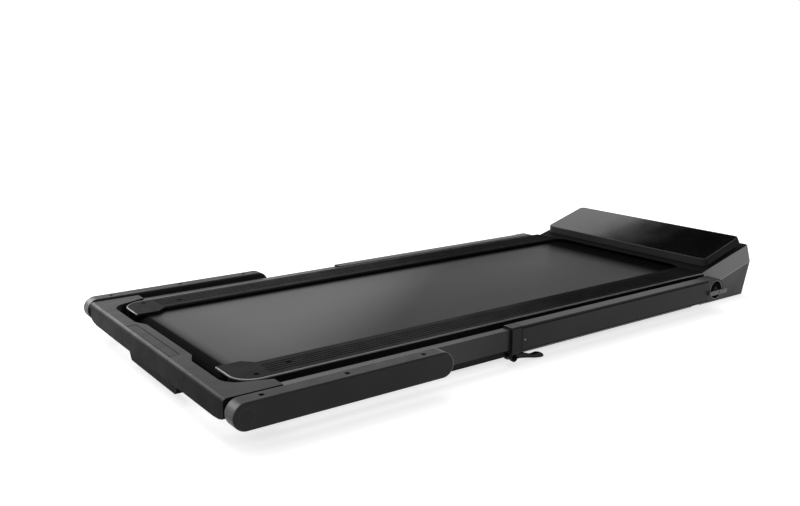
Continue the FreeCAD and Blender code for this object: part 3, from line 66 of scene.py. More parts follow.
def make_camera():
    data = bpy.data.cameras.new("camera")
    data.sensor_width = CAMERA_SENSOR
    data.lens = CAMERA_LENS
    data.clip_end = CAMERA_REACH
    camera = bpy.data.objects.new("camera", data)
    SCENE.collection.objects.link(camera)
    level = Vector((math.cos(CAMERA_YAW), math.sin(CAMERA_YAW), 0))
    forward = math.cos(CAMERA_PITCH) * level - math.sin(CAMERA_PITCH) * UP
    right = level.cross(UP)
    up = right.cross(forward)
    across = math.cos(CAMERA_ROLL) * right + math.sin(CAMERA_ROLL) * up
    upward = math.cos(CAMERA_ROLL) * up - math.sin(CAMERA_ROLL) * right
    turned = Matrix((across, upward, -forward)).transposed()
    camera.matrix_world = Matrix.Translation(CAMERA_PLACE) @ turned.to_4x4()
    bpy.context.scene.camera = camera


make_camera()


# Node helpers for the materials
NOISE_RANGE = (0.3, 0.7)
NOISE_ROUGHNESS = 0.55


class Shader:
    """A principled material that is built up from a few small node chains."""

    def __init__(self, name):
        self.material = bpy.data.materials.new(name)
        self.material.use_nodes = True
        self.tree = self.material.node_tree
        self.nodes = self.tree.nodes
        self.principled = self.nodes["Principled BSDF"]
        self.coordinates = self.nodes.new("ShaderNodeTexCoord").outputs
        self.place = self.coordinates["Object"]
        self.height = None

    def link(self, source, target):
        self.tree.links.new(source, target)

    def set(self, name, value):
        self.principled.inputs[name].default_value = value

    def feed(self, name, source):
        self.link(source, self.principled.inputs[name])

    def shine(self, source):
        """Vary the gloss over the surface."""
        self.feed("Specular IOR Level", source)

    def math(self, operation, *values):
        node = self.nodes.new("ShaderNodeMath")
        node.operation = operation
        for socket, value in zip(node.inputs, values):
            if isinstance(value, (int, float)):
                socket.default_value = value
            else:
                self.link(value, socket)
        return node.outputs[0]

    def product(self, *values):
        """The product of several values, which is 1 where all masks are 1."""
        result = values[0]
        for value in values[1:]:
            result = self.math("MULTIPLY", result, value)
        return result

    def largest(self, *values):
        """The largest of several values, which is 1 where any mask is 1."""
        result = values[0]
        for value in values[1:]:
            result = self.math("MAXIMUM", result, value)
        return result

    def size(self, source):
        """A value without its sign."""
        return self.math("ABSOLUTE", source)

    def scaled(self, scale):
        """The place with each axis scaled, or as it is."""
        if not scale:
            return self.place
        node = self.nodes.new("ShaderNodeMapping")
        node.inputs["Scale"].default_value = scale
        self.link(self.place, node.inputs["Vector"])
        return node.outputs["Vector"]

    def part_of(self, vector, letter):
        """The part of a vector along one axis."""
        node = self.nodes.new("ShaderNodeSeparateXYZ")
        self.link(vector, node.inputs[0])
        return node.outputs[letter]

    def axis(self, letter):
        """The place along an axis of the object."""
        return self.part_of(self.place, letter)

    def facing(self, letter):
        """How far the surface faces along an axis of the object."""
        return self.part_of(self.coordinates["Normal"], letter)

    def noise(self, scale, detail=3.0, axes=None):
        node = self.nodes.new("ShaderNodeTexNoise")
        node.inputs["Scale"].default_value = scale
        node.inputs["Detail"].default_value = detail
        node.inputs["Roughness"].default_value = NOISE_ROUGHNESS
        self.link(self.scaled(axes), node.inputs["Vector"])
        return node.outputs["Fac"]

    def cells(self, scale, axes=None, feature="F1"):
        node = self.nodes.new("ShaderNodeTexVoronoi")
        node.feature = feature
        node.inputs["Scale"].default_value = scale
        self.link(self.scaled(axes), node.inputs["Vector"])
        return node.outputs["Distance"]

    def waves(self, letter, pitch):
        """A smooth ridge pattern along one axis, from 0 to 1."""
        turn = self.math("MULTIPLY", self.axis(letter), 2 * math.pi / pitch)
        return self.math("MULTIPLY_ADD", self.math("SINE", turn), 0.5, 0.5)

    def spread(self, source, low, high, to_low, to_high, smooth=False):
        """A value that goes from one level to another as a source goes from low to high."""
        node = self.nodes.new("ShaderNodeMapRange")
        if smooth:
            node.interpolation_type = "SMOOTHSTEP"
        for name, value in (("From Min", low), ("From Max", high), ("To Min", to_low), ("To Max", to_high)):
            node.inputs[name].default_value = value
        self.link(source, node.inputs["Value"])
        return node.outputs["Result"]

    def vary(self, pattern, low, high):
        """The usual range of a noise pattern, spread from low to high."""
        return self.spread(pattern, *NOISE_RANGE, low, high)

    def pick(self, mask, off, on):
        """One value where a mask is 0 and another where it is 1."""
        return self.spread(mask, 0, 1, off, on)

    def mix(self, factor, first, second):
        """Two colours, each a tuple or a socket, mixed by a factor socket."""
        node = self.nodes.new("ShaderNodeMix")
        node.data_type = "RGBA"
        self.link(factor, node.inputs["Factor"])
        for name, value in (("A", first), ("B", second)):
            socket = next(item for item in node.inputs if item.name == name and item.type == "RGBA")
            if isinstance(value, tuple):
                socket.default_value = value
            else:
                self.link(value, socket)
        return next(item for item in node.outputs if item.type == "RGBA")

    def mottle(self, pattern, first, second):
        """Colour the surface with two colours, mixed by a noise pattern."""
        self.feed("Base Color", self.mix(self.vary(pattern, 0, 1), first, second))

    def repaint(self, mask, level):
        """Paint another grey over the colour where a mask is 1."""
        before = self.principled.inputs["Base Color"].links[0].from_socket
        self.feed("Base Color", self.mix(mask, before, grey(level)))

    def bump(self, source, distance):
        """Raise the surface by a pattern, on top of what was raised before."""
        node = self.nodes.new("ShaderNodeBump")
        node.inputs["Distance"].default_value = distance
        node.inputs["Strength"].default_value = 1.0
        self.link(source, node.inputs["Height"])
        if self.height:
            self.link(self.height, node.inputs["Normal"])
        self.height = node.outputs["Normal"]
        self.feed("Normal", self.height)

    def within(self, value, middle, half):
        """A mask that is 1 where a value lies near a middle."""
        return self.math("LESS_THAN", self.size(self.math("SUBTRACT", value, middle)), half)

    def line(self, letter, middle, width):
        """A mask that is 1 within half a width of a place along one axis."""
        return self.within(self.axis(letter), middle, width / 2)

    def row(self, value, middle, pitch):
        """A value that repeats itself round a middle, once in every pitch."""
        return self.math("WRAP", value, middle + pitch / 2, middle - pitch / 2)

    def spot(self, first, second, middle, radius):
        """A mask that is 1 within a radius of a middle, on two axes."""
        first = self.math("SUBTRACT", first, middle[0])
        second = self.math("SUBTRACT", second, middle[1])
        far = self.math("ADD", self.math("MULTIPLY", first, first), self.math("MULTIPLY", second, second))
        return self.math("LESS_THAN", far, radius ** 2)


def grey(level, tint=0.0):
    """A grey, or a slightly blue one."""
    return (level, level, level * (1 + tint), 1)


# Kinds of material, with how far their grey and their roughness vary
COOL = 0.02
MOULD_CHANGE, MOULD_UNEVEN, MOULD_SPECKS = 0.18, 0.06, 0.35
COAT_CHANGE, COAT_UNEVEN = 0.15, 0.04
COAT_PEEL, COAT_SPARKLE = 0.000015, 0.000006
BRUSH_DARK, BRUSH_PALE, BRUSH_UNEVEN = 0.8, 1.1, 0.1
BRUSH_DEPTH = 0.00006


def moulded(name, level, rough, gloss, grain=0.00005, scale=1500):
    """Moulded plastic with a spark-eroded grain and a slightly uneven gloss."""
    shader = Shader(name)
    cloud = shader.math("MULTIPLY", shader.noise(9, detail=4), 1 - MOULD_SPECKS)
    shade = shader.math("MULTIPLY_ADD", shader.noise(scale, detail=2), MOULD_SPECKS, cloud)
    shader.mottle(shade, grey(level * (1 - MOULD_CHANGE), COOL), grey(level * (1 + MOULD_CHANGE), COOL))
    uneven = shader.vary(shader.noise(26, detail=5), rough - MOULD_UNEVEN, rough + MOULD_UNEVEN)
    shader.feed("Roughness", uneven)
    shader.set("Specular IOR Level", gloss)
    shader.bump(shader.cells(scale), grain)
    return shader


def coated(name, level, rough, gloss=0.5, metallic=0.0):
    """Powder coat: an orange peel under a fine sparkle."""
    shader = Shader(name)
    peel = shader.noise(420)
    cloud = shader.noise(6, detail=4)
    shader.mottle(cloud, grey(level * (1 - COAT_CHANGE), COOL), grey(level * (1 + COAT_CHANGE), COOL))
    shader.feed("Roughness", shader.vary(peel, rough - COAT_UNEVEN, rough + COAT_UNEVEN))
    shader.set("Metallic", metallic)
    shader.set("Specular IOR Level", gloss)
    shader.bump(peel, COAT_PEEL)
    shader.bump(shader.noise(2600, detail=1), COAT_SPARKLE)
    return shader


def brushed(name, level, rough, axes):
    """Bare metal with fine lines along the axis that has the smallest scale."""
    shader = Shader(name)
    lines = shader.noise(900, axes=axes)
    shader.mottle(lines, grey(level * BRUSH_DARK, COOL), grey(level * BRUSH_PALE, COOL))
    shader.feed("Roughness", shader.vary(lines, rough - BRUSH_UNEVEN, rough + BRUSH_UNEVEN))
    shader.set("Metallic", 1.0)
    shader.bump(lines, BRUSH_DEPTH)
    return shader


# Materials: grey level, roughness, and what else their kind asks for
COATED = {
    "frame_paint": (0.012, 0.42, 0.1),
    "tube_paint": (0.026, 0.3, 0.1),
    "sleeve_paint": (0.03, 0.3, 0.11),
    "hinge_metal": (0.02, 0.36, 0.15),
    "lever_metal": (0.11, 0.34, 0.3),
    "motor_paint": (0.09, 0.4),
    "cast_aluminium": (0.45, 0.5, 0.5, 1.0),
}
MOULDED = {
    "rail_plastic": (0.0065, 0.6, 0.05, 0.00005, 900),
    "clamp_plastic": (0.014, 0.32, 0.1),
    "crossbar_plastic": (0.013, 0.34, 0.1),
    "console_plastic": (0.012, 0.3, 0.08),
    "grip_foam": (0.014, 0.4, 0.09, 0.00008, 900),
    "bezel_plastic": (0.03, 0.36, 0.2),
    "hood_plastic": (0.03, 0.42, 0.2),
    # Near black, as painted shade on the hood's cover under the panel
    "cover_plastic": (0.005, 0.5, 0.03),
    "socket_plastic": (0.010, 0.4, 0.2),
    "drive_rubber": (0.014, 0.75, 0.2, 0.0003, 600),
    "wheel_plastic": (0.02, 0.5, 0.2),
    "black_screw": (0.002, 0.5, 0.01),
    "outline_ink": (0.003, 0.5, 0.05),
}
BRUSHED = {
    "roller_steel": (0.5, 0.32, (1, 0.02, 1)),
    "fastener_steel": (0.16, 0.4, (1, 1, 0.05)),
    # Bright metal for the beads and rims that stand in for edge highlights
    "trim_metal": (0.17, 0.42, (0.03, 1, 1)),
}
LOOKS = {}
for kind, table in ((coated, COATED), (moulded, MOULDED), (brushed, BRUSHED)):
    for name, values in table.items():
        LOOKS[name] = kind(name, *values)


# Details that only the paint shows, at places in metres: dark seams and screws, and painted shade, painted
# highlights and painted sheen
BLACK = 0.001
# Groove floors and the bands along the grooves get painted shade
GROOVE_LEVEL = 0.0834
RIBS_MIDDLE, RIBS_HALF, RIBS_REAR = 0.24285, 0.0195, -0.601
BAND_MIDDLE, BAND_PITCH, BAND_HALF = 0.2248, 0.009, 0.0014
RAIL_SCREWS = ((-0.625, 0.2585), (-0.554, 0.2383))
RAIL_SCREW_RADIUS = 0.005


def paint_rails():
    """Painted shade on the groove floors and in bands along them, fading to the front, dark screws, and a
    painted sheen that fades to the front.
    """
    rail = LOOKS["rail_plastic"]
    along = rail.axis("X")
    side = rail.size(rail.axis("Y"))
    groove = rail.math("LESS_THAN", rail.axis("Z"), GROOVE_LEVEL)
    band = rail.within(rail.row(side, BAND_MIDDLE, BAND_PITCH), BAND_MIDDLE, BAND_HALF)
    ribs = rail.product(rail.within(side, RIBS_MIDDLE, RIBS_HALF),
                        rail.math("GREATER_THAN", along, RIBS_REAR))
    fade = rail.spread(along, -0.25, 0.2, 1, 0.15)
    screws = [rail.spot(along, side, middle, RAIL_SCREW_RADIUS) for middle in RAIL_SCREWS]
    # Painted shade in the grooves and bands, fading to the front, together with the dark screws
    dark = rail.largest(rail.product(ribs, rail.largest(groove, band), fade), *screws)
    rail.repaint(dark, BLACK)
    # Painted sheen: the gloss fades towards the front, and the painted shade and screws lose theirs
    painted_sheen = rail.spread(along, -0.25, 0.1, 0.05, 0.005)
    rail.shine(rail.product(painted_sheen, rail.pick(dark, 1, 0.08)))


GRIP_HOLE = (-0.663, 0.35)
GRIP_HOLE_PITCH, GRIP_HOLE_RADIUS = 0.156, 0.0049
GRIP_PIVOT = (-0.6955, 0.0632)
PIVOT_RING_INNER, PIVOT_RING_OUTER, PIVOT_RIM_HIGHLIGHT_GREY = 0.0139, 0.0145, 0.03


def paint_grips():
    """Painted shade in a row of holes, a thin painted highlight ring on the rim of the pivot's cap, and
    painted highlights on the ends.
    """
    grip = LOOKS["grip_foam"]
    along = grip.axis("X")
    level = grip.axis("Z")
    # Painted shade: the holes, and a ring round each, are painted black and lose their gloss
    hole_shade = grip.spot(grip.row(along, GRIP_HOLE[0], GRIP_HOLE_PITCH), grip.size(grip.axis("Y")),
                     GRIP_HOLE, GRIP_HOLE_RADIUS)
    grip.repaint(hole_shade, BLACK)
    # Painted highlight: a thin lighter ring on the rim of the pivot's cap
    ring = grip.math("SUBTRACT", grip.spot(along, level, GRIP_PIVOT, PIVOT_RING_OUTER),
                     grip.spot(along, level, GRIP_PIVOT, PIVOT_RING_INNER))
    grip.repaint(ring, PIVOT_RIM_HIGHLIGHT_GREY)
    # Painted highlights: much more gloss on the forward-facing front end and on the upper part of the rear
    # end
    forward = grip.facing("X")
    front = grip.spread(forward, 0.05, 0.5, 0.14, 0.9)
    rear = grip.spread(forward, -0.2, -0.6, 0, 0.5)
    upper = grip.spread(grip.facing("Z"), -0.1, 0.5, 0, 1)
    ends = grip.largest(front, grip.product(rear, upper))
    grip.shine(grip.product(ends, grip.pick(hole_shade, 1, 0.05)))


CROSSBAR_SEAMS, CROSSBAR_SEAM_WIDTH, CROSSBAR_SEAM_REACH = (0.111, -0.1), 0.0011, 0.012
CROSSBAR_REAR_SHADE_GREY = 0.0035


def paint_crossbar():
    """Two short dark seams at the rear, painted shade on the rear face, a painted highlight on the inner
    edge and a painted sheen on the top.
    """
    bar = LOOKS["crossbar_plastic"]
    rear = bar.math("LESS_THAN", bar.axis("X"), REAR + CROSSBAR_SEAM_REACH)
    seams = bar.largest(*(bar.line("Y", middle, CROSSBAR_SEAM_WIDTH) for middle in CROSSBAR_SEAMS))
    bar.repaint(bar.product(rear, seams), BLACK)
    forward = bar.facing("X")
    # Painted shade: faces that look to the rear are painted darker
    bar.repaint(bar.spread(forward, -0.95, -0.5, 1, 0), CROSSBAR_REAR_SHADE_GREY)
    # Painted highlight and sheen: more gloss on the inner edge and on the top than on the sides
    inner = bar.spread(forward, 0.15, 0.5, 0, 0.3)
    top = bar.spread(bar.facing("Z"), 0.1, 0.8, 0.01, 0.1)
    bar.shine(bar.largest(inner, top))


SLEEVE_SEAM, SLEEVE_SEAM_WIDTH, SLEEVE_SEAM_AND_SHADE_GREY = -0.0915, 0.0016, 0.002
SLEEVE_EDGE_SHADES = ((0.0772, 0.0018), (0.0322, 0.0014))


def paint_tubes():
    """A dark seam round one end of the sleeves, painted shade in lines along the top and bottom edges of
    their sides, a painted highlight on their undersides, and a painted sheen on the inner tubes towards the
    rear.
    """
    sleeve = LOOKS["sleeve_paint"]
    upright = sleeve.math("GREATER_THAN", sleeve.size(sleeve.facing("Y")), 0.6)
    # Painted shade: dark lines just below the top edge and just above the bottom edge of each side, drawn
    # with the seam
    edges = sleeve.largest(*(sleeve.line("Z", middle, width) for middle, width in SLEEVE_EDGE_SHADES))
    seams = sleeve.largest(sleeve.line("X", SLEEVE_SEAM, SLEEVE_SEAM_WIDTH), sleeve.product(upright, edges))
    sleeve.repaint(seams, SLEEVE_SEAM_AND_SHADE_GREY)
    # Painted highlight: more gloss where the sleeve faces down, little on the seam and shade lines
    underside_highlight = sleeve.spread(sleeve.facing("Z"), -0.1, -0.7, 0.08, 0.7)
    sleeve.shine(sleeve.product(underside_highlight, sleeve.pick(seams, 1, 0.05)))

    tube = LOOKS["tube_paint"]
    # Painted sheen: more gloss towards the rear of the inner tubes
    tube.shine(tube.spread(tube.axis("X"), -0.6, -0.15, 0.5, 0.14))


CREASE_START, CREASE_SLOPE = (0.5366, 0.04), math.tan(math.radians(14.5))
CREASE_MIDDLE, CREASE_HALF, CREASE_HIGHLIGHT_GREY = 0.0004, 0.0008, 0.4
HOOD_PALE_GREY, BEZEL_SIDE_SHADE_GREY = 0.24, 0.016
BEZEL_SIDE = (0.4, 0.8)


def paint_hood():
    """A pale band above the crease of the hood's sides, a painted highlight line along the crease, a
    painted sheen on upward faces, and painted shade on the sides of the panel's bezel.
    """
    hood = LOOKS["hood_plastic"]
    crease = hood.math("MULTIPLY_ADD", hood.math("SUBTRACT", hood.axis("X"), CREASE_START[0]),
                       CREASE_SLOPE, CREASE_START[1])
    above = hood.math("SUBTRACT", hood.axis("Z"), crease)
    hood.repaint(hood.math("GREATER_THAN", above, 0), HOOD_PALE_GREY)
    # Painted highlight: a thin bright line along the crease
    hood.repaint(hood.within(above, CREASE_MIDDLE, CREASE_HALF), CREASE_HIGHLIGHT_GREY)
    # Painted sheen: more gloss where the hood faces up
    hood.shine(hood.spread(hood.facing("Z"), 0.3, 0.9, 0.2, 0.5))

    bezel = LOOKS["bezel_plastic"]
    side = bezel.size(bezel.facing("Y"))
    # Painted shade: the bezel's sides are painted darker and lose gloss
    bezel.repaint(bezel.spread(side, *BEZEL_SIDE, 0, 1), BEZEL_SIDE_SHADE_GREY)
    bezel.shine(bezel.spread(side, *BEZEL_SIDE, 0.2, 0.03))


HINGE = (0.5216, 0.0545)
RECESS_RADIUS, RECESS_REACH, HUB_REACH = 0.0207, 0.3145, 0.3236
HINGE_GLOSS, LEVER_GLOSS, RECESS_SHADE_GLOSS = 0.15, 0.3, 0.005


def paint_hinges():
    """Painted shade in the recess of each knuckle and on the hub under the lock lever, with little gloss
    there.
    """
    hinge = LOOKS["hinge_metal"]
    outside = hinge.math("GREATER_THAN", hinge.size(hinge.axis("Y")), RECESS_REACH)
    # Painted shade: the recess in the knuckle is painted black with little gloss
    recess_shade = hinge.product(outside, hinge.spot(hinge.axis("X"), hinge.axis("Z"), HINGE, RECESS_RADIUS))
    hinge.repaint(recess_shade, BLACK)
    hinge.shine(hinge.pick(recess_shade, HINGE_GLOSS, RECESS_SHADE_GLOSS))

    lever = LOOKS["lever_metal"]
    # Painted shade: the hub under the lever is painted black with little gloss
    hub_shade = lever.math("LESS_THAN", lever.size(lever.axis("Y")), HUB_REACH)
    lever.repaint(hub_shade, BLACK)
    lever.shine(lever.pick(hub_shade, LEVER_GLOSS, RECESS_SHADE_GLOSS))


paint_rails()
paint_grips()
paint_crossbar()
paint_tubes()
paint_hood()
paint_hinges()


# Materials with a pattern of their own
PANEL_IOR = 1.68
WEAVE_PITCH, WEAVE_DEPTH, SPECK_DEPTH = 0.0044, 0.00008, 0.00005
# The belt's shade grey and the ranges for its edges, hood, bend and rear end are painted shade; the sheen
# values are a painted sheen
BELT_DARK, BELT_PALE, BELT_SHADE_GREY = 0.008, 0.016, 0.0025
BELT_MIDDLE, BELT_EDGE_SHADE, BELT_HOOD_SHADE = -0.01, (0.182, 0.205), (0.425, 0.49)
BELT_BEND_SHADE, BELT_REAR_SHADE = (REAR + 0.074, REAR + 0.098), (-0.62, -0.5)
SHEEN_SLANT, SHEEN_REACH, SHEEN_LEVELS = -1.2, (-0.45, -0.06), (0.3, 0.037)
WOOD_DARK, WOOD_PALE = (0.2, 0.13, 0.075, 1), (0.36, 0.25, 0.15, 1)
LACQUER, TRACK, PAD = (0.010, 0.055, 0.028, 1), (0.022, 0.12, 0.055, 1), (0.42, 0.36, 0.24, 1)
TRACK_WIDTH, PAD_RADIUS = 0.06, 0.16


def make_gloss():
    """The black glossy face of the display panel."""
    shader = Shader("display_gloss")
    shader.mottle(shader.noise(5, detail=5), grey(0.0012), grey(0.0022))
    shader.feed("Roughness", shader.spread(shader.noise(14, detail=6), 0.35, 0.7, 0.08, 0.12))
    shader.set("IOR", PANEL_IOR)
    shader.bump(shader.noise(900, detail=2), 0.000004)
    return shader


def make_belt():
    """Woven belt face: a fine diamond grain in dark rubber, with painted shade at its edges and under the
    hood, less gloss on the rear bend and rear end as painted shade, and a slanting painted sheen.
    """
    shader = Shader("belt_surface")
    along = shader.axis("X")
    across = shader.axis("Y")
    weft = shader.pick(shader.waves("Y", WEAVE_PITCH), 0.5, 1)
    diamond = shader.product(weft, shader.waves("X", WEAVE_PITCH))
    specks = shader.noise(1400, detail=2)
    cloud = shader.noise(5, detail=5, axes=(0.35, 1, 1))
    uneven = shader.math("MULTIPLY_ADD", specks, 0.4, shader.math("MULTIPLY", cloud, 0.5))
    shade = shader.math("MULTIPLY_ADD", diamond, 0.3, uneven)
    # Painted shade: darker and nearly without gloss under the hood and along the edges
    hood_shade = shader.spread(along, *BELT_HOOD_SHADE, 0, 1)
    aside = shader.size(shader.math("SUBTRACT", across, BELT_MIDDLE))
    belt_shade = shader.largest(hood_shade, shader.spread(aside, *BELT_EDGE_SHADE, 0, 1))
    woven = shader.mix(shader.spread(shade, 0.3, 0.9, 0, 1), grey(BELT_DARK), grey(BELT_PALE))
    shader.feed("Base Color", shader.mix(belt_shade, woven, grey(BELT_SHADE_GREY)))
    shader.feed("Roughness", shader.vary(cloud, 0.27, 0.33))
    shader.set("Specular IOR Level", 0.1)
    # Painted sheen: much more gloss towards the rear and the far side, fading along a slant
    slant = shader.math("MULTIPLY_ADD", across, SHEEN_SLANT, along)
    painted_sheen = shader.spread(slant, *SHEEN_REACH, *SHEEN_LEVELS, smooth=True)
    # Painted shade: less gloss on the bend round the rear roller and towards the rear end
    bend = shader.spread(along, *BELT_BEND_SHADE, 0, 1)
    rear = shader.spread(along, *BELT_REAR_SHADE, 0.6, 1)
    threads = shader.pick(diamond, 0.45, 1.55)
    shader.shine(shader.product(painted_sheen, bend, rear, shader.pick(belt_shade, 1, 0.05), threads))
    shader.bump(diamond, WEAVE_DEPTH)
    shader.bump(specks, SPECK_DEPTH)
    return shader


def make_wood():
    """Fibre board with a long grain."""
    shader = Shader("deck_wood")
    fibres = shader.noise(220, detail=5, axes=(0.2, 1, 1))
    shader.mottle(fibres, WOOD_DARK, WOOD_PALE)
    shader.feed("Roughness", shader.vary(fibres, 0.6, 0.8))
    shader.bump(fibres, 0.0002)
    return shader


def make_board():
    """A printed circuit board: green lacquer over copper tracks."""
    shader = Shader("circuit_board")
    flat = (1, 1, 0.01)
    track = shader.math("LESS_THAN", shader.cells(130, flat, "DISTANCE_TO_EDGE"), TRACK_WIDTH)
    pads = shader.math("LESS_THAN", shader.cells(260, flat), PAD_RADIUS)
    shader.feed("Base Color", shader.mix(pads, shader.mix(track, LACQUER, TRACK), PAD))
    shader.feed("Roughness", shader.vary(shader.noise(60), 0.3, 0.45))
    shader.bump(track, 0.00005)
    return shader


LOOKS["display_gloss"] = make_gloss()
LOOKS["belt_surface"] = make_belt()
LOOKS["deck_wood"] = make_wood()
LOOKS["circuit_board"] = make_board()


def coat(thing, look):
    """Give a thing one material all over."""
    thing.data.materials.clear()
    thing.data.materials.append(LOOKS[look].material)


# Nodes that look different from their material slot
OTHER_LOOKS = {
    "lock_lever_left": "lever_metal",
    "lock_lever_right": "lever_metal",
    # The hood's cover takes near-black plastic, as painted shade under the panel
    "hood_cover": "cover_plastic",
    "sleeve_left": "sleeve_paint",
    "sleeve_right": "sleeve_paint",
    "rail_screws": "black_screw",
    "clamp_bolts": "black_screw",
    "console_display": "console_plastic",
}
for piece in frame["record"]["subparts"]:
    look = OTHER_LOOKS.get(piece["node"], piece["material_slot"])
    coat(NODES[piece["node"]], look)


# Soft edges on the solids: width, then segments and smallest angle where they differ
EDGES = {
    "crossbar_tray": (0.0012,),
    "hood_base": (0.003,),
    "hood_cover": (0.0008,),
    "panel_bezel": (0.0006,),
    "foot_rail_left": (0.0003,),
    "foot_rail_right": (0.0003,),
    "crossbar_cover": (0.0025, 3, 30),
}
WELD_REACH = 0.00002


def soften(thing, width, segments=2, limit=40):
    weld = thing.modifiers.new("weld", "WELD")
    weld.merge_threshold = WELD_REACH
    bevel = thing.modifiers.new("bevel", "BEVEL")
    bevel.width = width
    bevel.segments = segments
    bevel.limit_method = "ANGLE"
    bevel.angle_limit = math.radians(limit)
    normal = thing.modifiers.new("normal", "WEIGHTED_NORMAL")
    normal.keep_sharp = True


for name, values in EDGES.items():
    soften(NODES[name], *values)


# Small pieces of the outside: beads and rims that stand in for edge highlights, rivets, and the line round
# the console display
def add_piece(name, work, look, body):
    mesh = bpy.data.meshes.new(name)
    bmesh.ops.recalc_face_normals(work, faces=work.faces)
    for face in work.faces:
        face.smooth = True
    work.to_mesh(mesh)
    work.free()
    piece = bpy.data.objects.new(name, mesh)
    SCENE.collection.objects.link(piece)
    coat(piece, look)
    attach(piece, body)


def skin(work, rings, closed=False):
    """Faces from each ring of corners to the next: back to the first ring, or with both ends filled."""
    following = rings[1:] + rings[:1] if closed else rings[1:]
    for first, second in zip(rings, following):
        for step in range(len(first)):
            after = (step + 1) % len(first)
            work.faces.new((first[step], first[after], second[after], second[step]))
    if not closed:
        work.faces.new(rings[0])
        work.faces.new(rings[-1])


# Sizes of the small pieces, in millimetres as at() takes them
BEAD_SIDE, BEAD_LEVEL, BEAD_RADIUS, BEAD_STEPS = 277.8, 82.1, 1.7, 10
BEAD_RUN = (1254.4, 1100, 900, 700, 500, 300, 150, 104)
BEAD_ARC, BEAD_ARC_RADIUS, BEAD_ARC_STEPS = (94, 238.5), 39.3, 12
BEAD_END, BEAD_END_RUN = 54.7, (220, 200, 187.5)
SLEEVE_REACH = 323
RIVET, RIVET_STEPS = (635.9, 53), 16
RIVET_DOME = ((2.3, -0.1), (2.2, 0.35), (1.5, 0.75), (0.6, 0.9))
RIM, RIM_RADIUS, RIM_THICK = (1240.6, 54.5), 20.9, 0.7
RIM_STEPS, RIM_BENDS = 48, 8
DISPLAY_REAR, DISPLAY_FRONT, DISPLAY_RIGHT, DISPLAY_LEFT = 10.6, 29.0, -92, 120
OUTLINE_SECTION = ((0.9, 83.9), (0.9, 84.12), (-0.2, 84.12), (-0.2, 83.9))


def sweep(work, path, radius):
    """A round bead along a level path, closed at both ends."""
    rings = []
    for number, place in enumerate(path):
        before = path[max(number - 1, 0)]
        after = path[min(number + 1, len(path) - 1)]
        side = (after - before).normalized().cross(UP)
        rings.append([work.verts.new(place + radius * (math.cos(turn) * side + math.sin(turn) * UP))
                      for turn in turns(BEAD_STEPS)])
    skin(work, rings)


def make_beads():
    """A bright metal bead along each foot rail's outer edge and round the cap at its rear, standing in for
    the highlight on that edge.
    """
    for name, side in SIDES:
        path = [at(along, side * BEAD_SIDE, BEAD_LEVEL) for along in BEAD_RUN]
        for step in range(BEAD_ARC_STEPS + 1):
            turn = math.radians(90 * step / BEAD_ARC_STEPS)
            path.append(at(BEAD_ARC[0] - BEAD_ARC_RADIUS * math.sin(turn),
                           side * (BEAD_ARC[1] + BEAD_ARC_RADIUS * math.cos(turn)), BEAD_LEVEL))
        path += [at(BEAD_END, side * y, BEAD_LEVEL) for y in BEAD_END_RUN]
        work = bmesh.new()
        sweep(work, path, BEAD_RADIUS / 1000)
        add_piece("rail_bead_highlight_" + name, work, "trim_metal", "base")


def make_rivets():
    """A low dome on the outer side of each sleeve, next to the collar."""
    for name, side in SIDES:
        work = bmesh.new()
        rings = []
        for radius, height in RIVET_DOME:
            y = side * (SLEEVE_REACH + height)
            rings.append([work.verts.new(at(RIVET[0] + radius * math.cos(turn), y,
                                            RIVET[1] + radius * math.sin(turn)))
                          for turn in turns(RIVET_STEPS)])
        skin(work, rings)
        add_piece("sleeve_rivet_" + name, work, "fastener_steel", "handrail")


def make_rims():
    """A bright metal rim round each lock lever's recess in the knuckle, standing in for the highlight on
    the recess's edge.
    """
    for name, side in SIDES:
        work = bmesh.new()
        rings = []
        for turn in turns(RIM_STEPS):
            ring = []
            for bend in turns(RIM_BENDS):
                radius = RIM_RADIUS + RIM_THICK * math.cos(bend)
                y = side * (SLEEVE_REACH + RIM_THICK * math.sin(bend))
                ring.append(work.verts.new(at(RIM[0] + radius * math.cos(turn), y,
                                              RIM[1] + radius * math.sin(turn))))
            rings.append(ring)
        skin(work, rings, closed=True)
        add_piece("lock_rim_highlight_" + name, work, "trim_metal", "handrail")


def make_outline():
    """A thin dark line round the console display on the crossbar."""
    work = bmesh.new()
    rings = []
    for grow, level in OUTLINE_SECTION:
        rear = DISPLAY_REAR - grow
        front = DISPLAY_FRONT + grow
        right = DISPLAY_RIGHT - grow
        left = DISPLAY_LEFT + grow
        corners = ((rear, right), (front, right), (front, left), (rear, left))
        rings.append([work.verts.new(at(along, y, level)) for along, y in corners])
    skin(work, rings, closed=True)
    add_piece("console_outline", work, "outline_ink", "slider")


make_beads()
make_rivets()
make_rims()
make_outline()


# Stage: pale floor, soft studio light
FLOOR_SIZE, FLOOR_CELLS = 60, 4
FLOOR_GREY, FLOOR_GLOW = 0.8, 0.7
SKY_LIGHT, SKY_SHOWN = 0.45, 1.0
FLAG_GREY = 0.004
FLAG_CORNERS = [(2.6, -3.0, 1.1), (2.6, 0.25, 1.1), (2.6, 5.65, 4.0), (2.6, -3.0, 4.0)]
BACKGROUND_RAYS = ("Is Camera Ray", "Is Glossy Ray", "Is Transmission Ray")


def shown(tree):
    """A value that is 1 for a ray that shows the background: straight, mirrored or through glass."""
    outputs = tree.nodes.new("ShaderNodeLightPath").outputs
    total = outputs[BACKGROUND_RAYS[0]]
    for name in BACKGROUND_RAYS[1:]:
        node = tree.nodes.new("ShaderNodeMath")
        node.operation = "MAXIMUM"
        tree.links.new(total, node.inputs[0])
        tree.links.new(outputs[name], node.inputs[1])
        total = node.outputs[0]
    return total


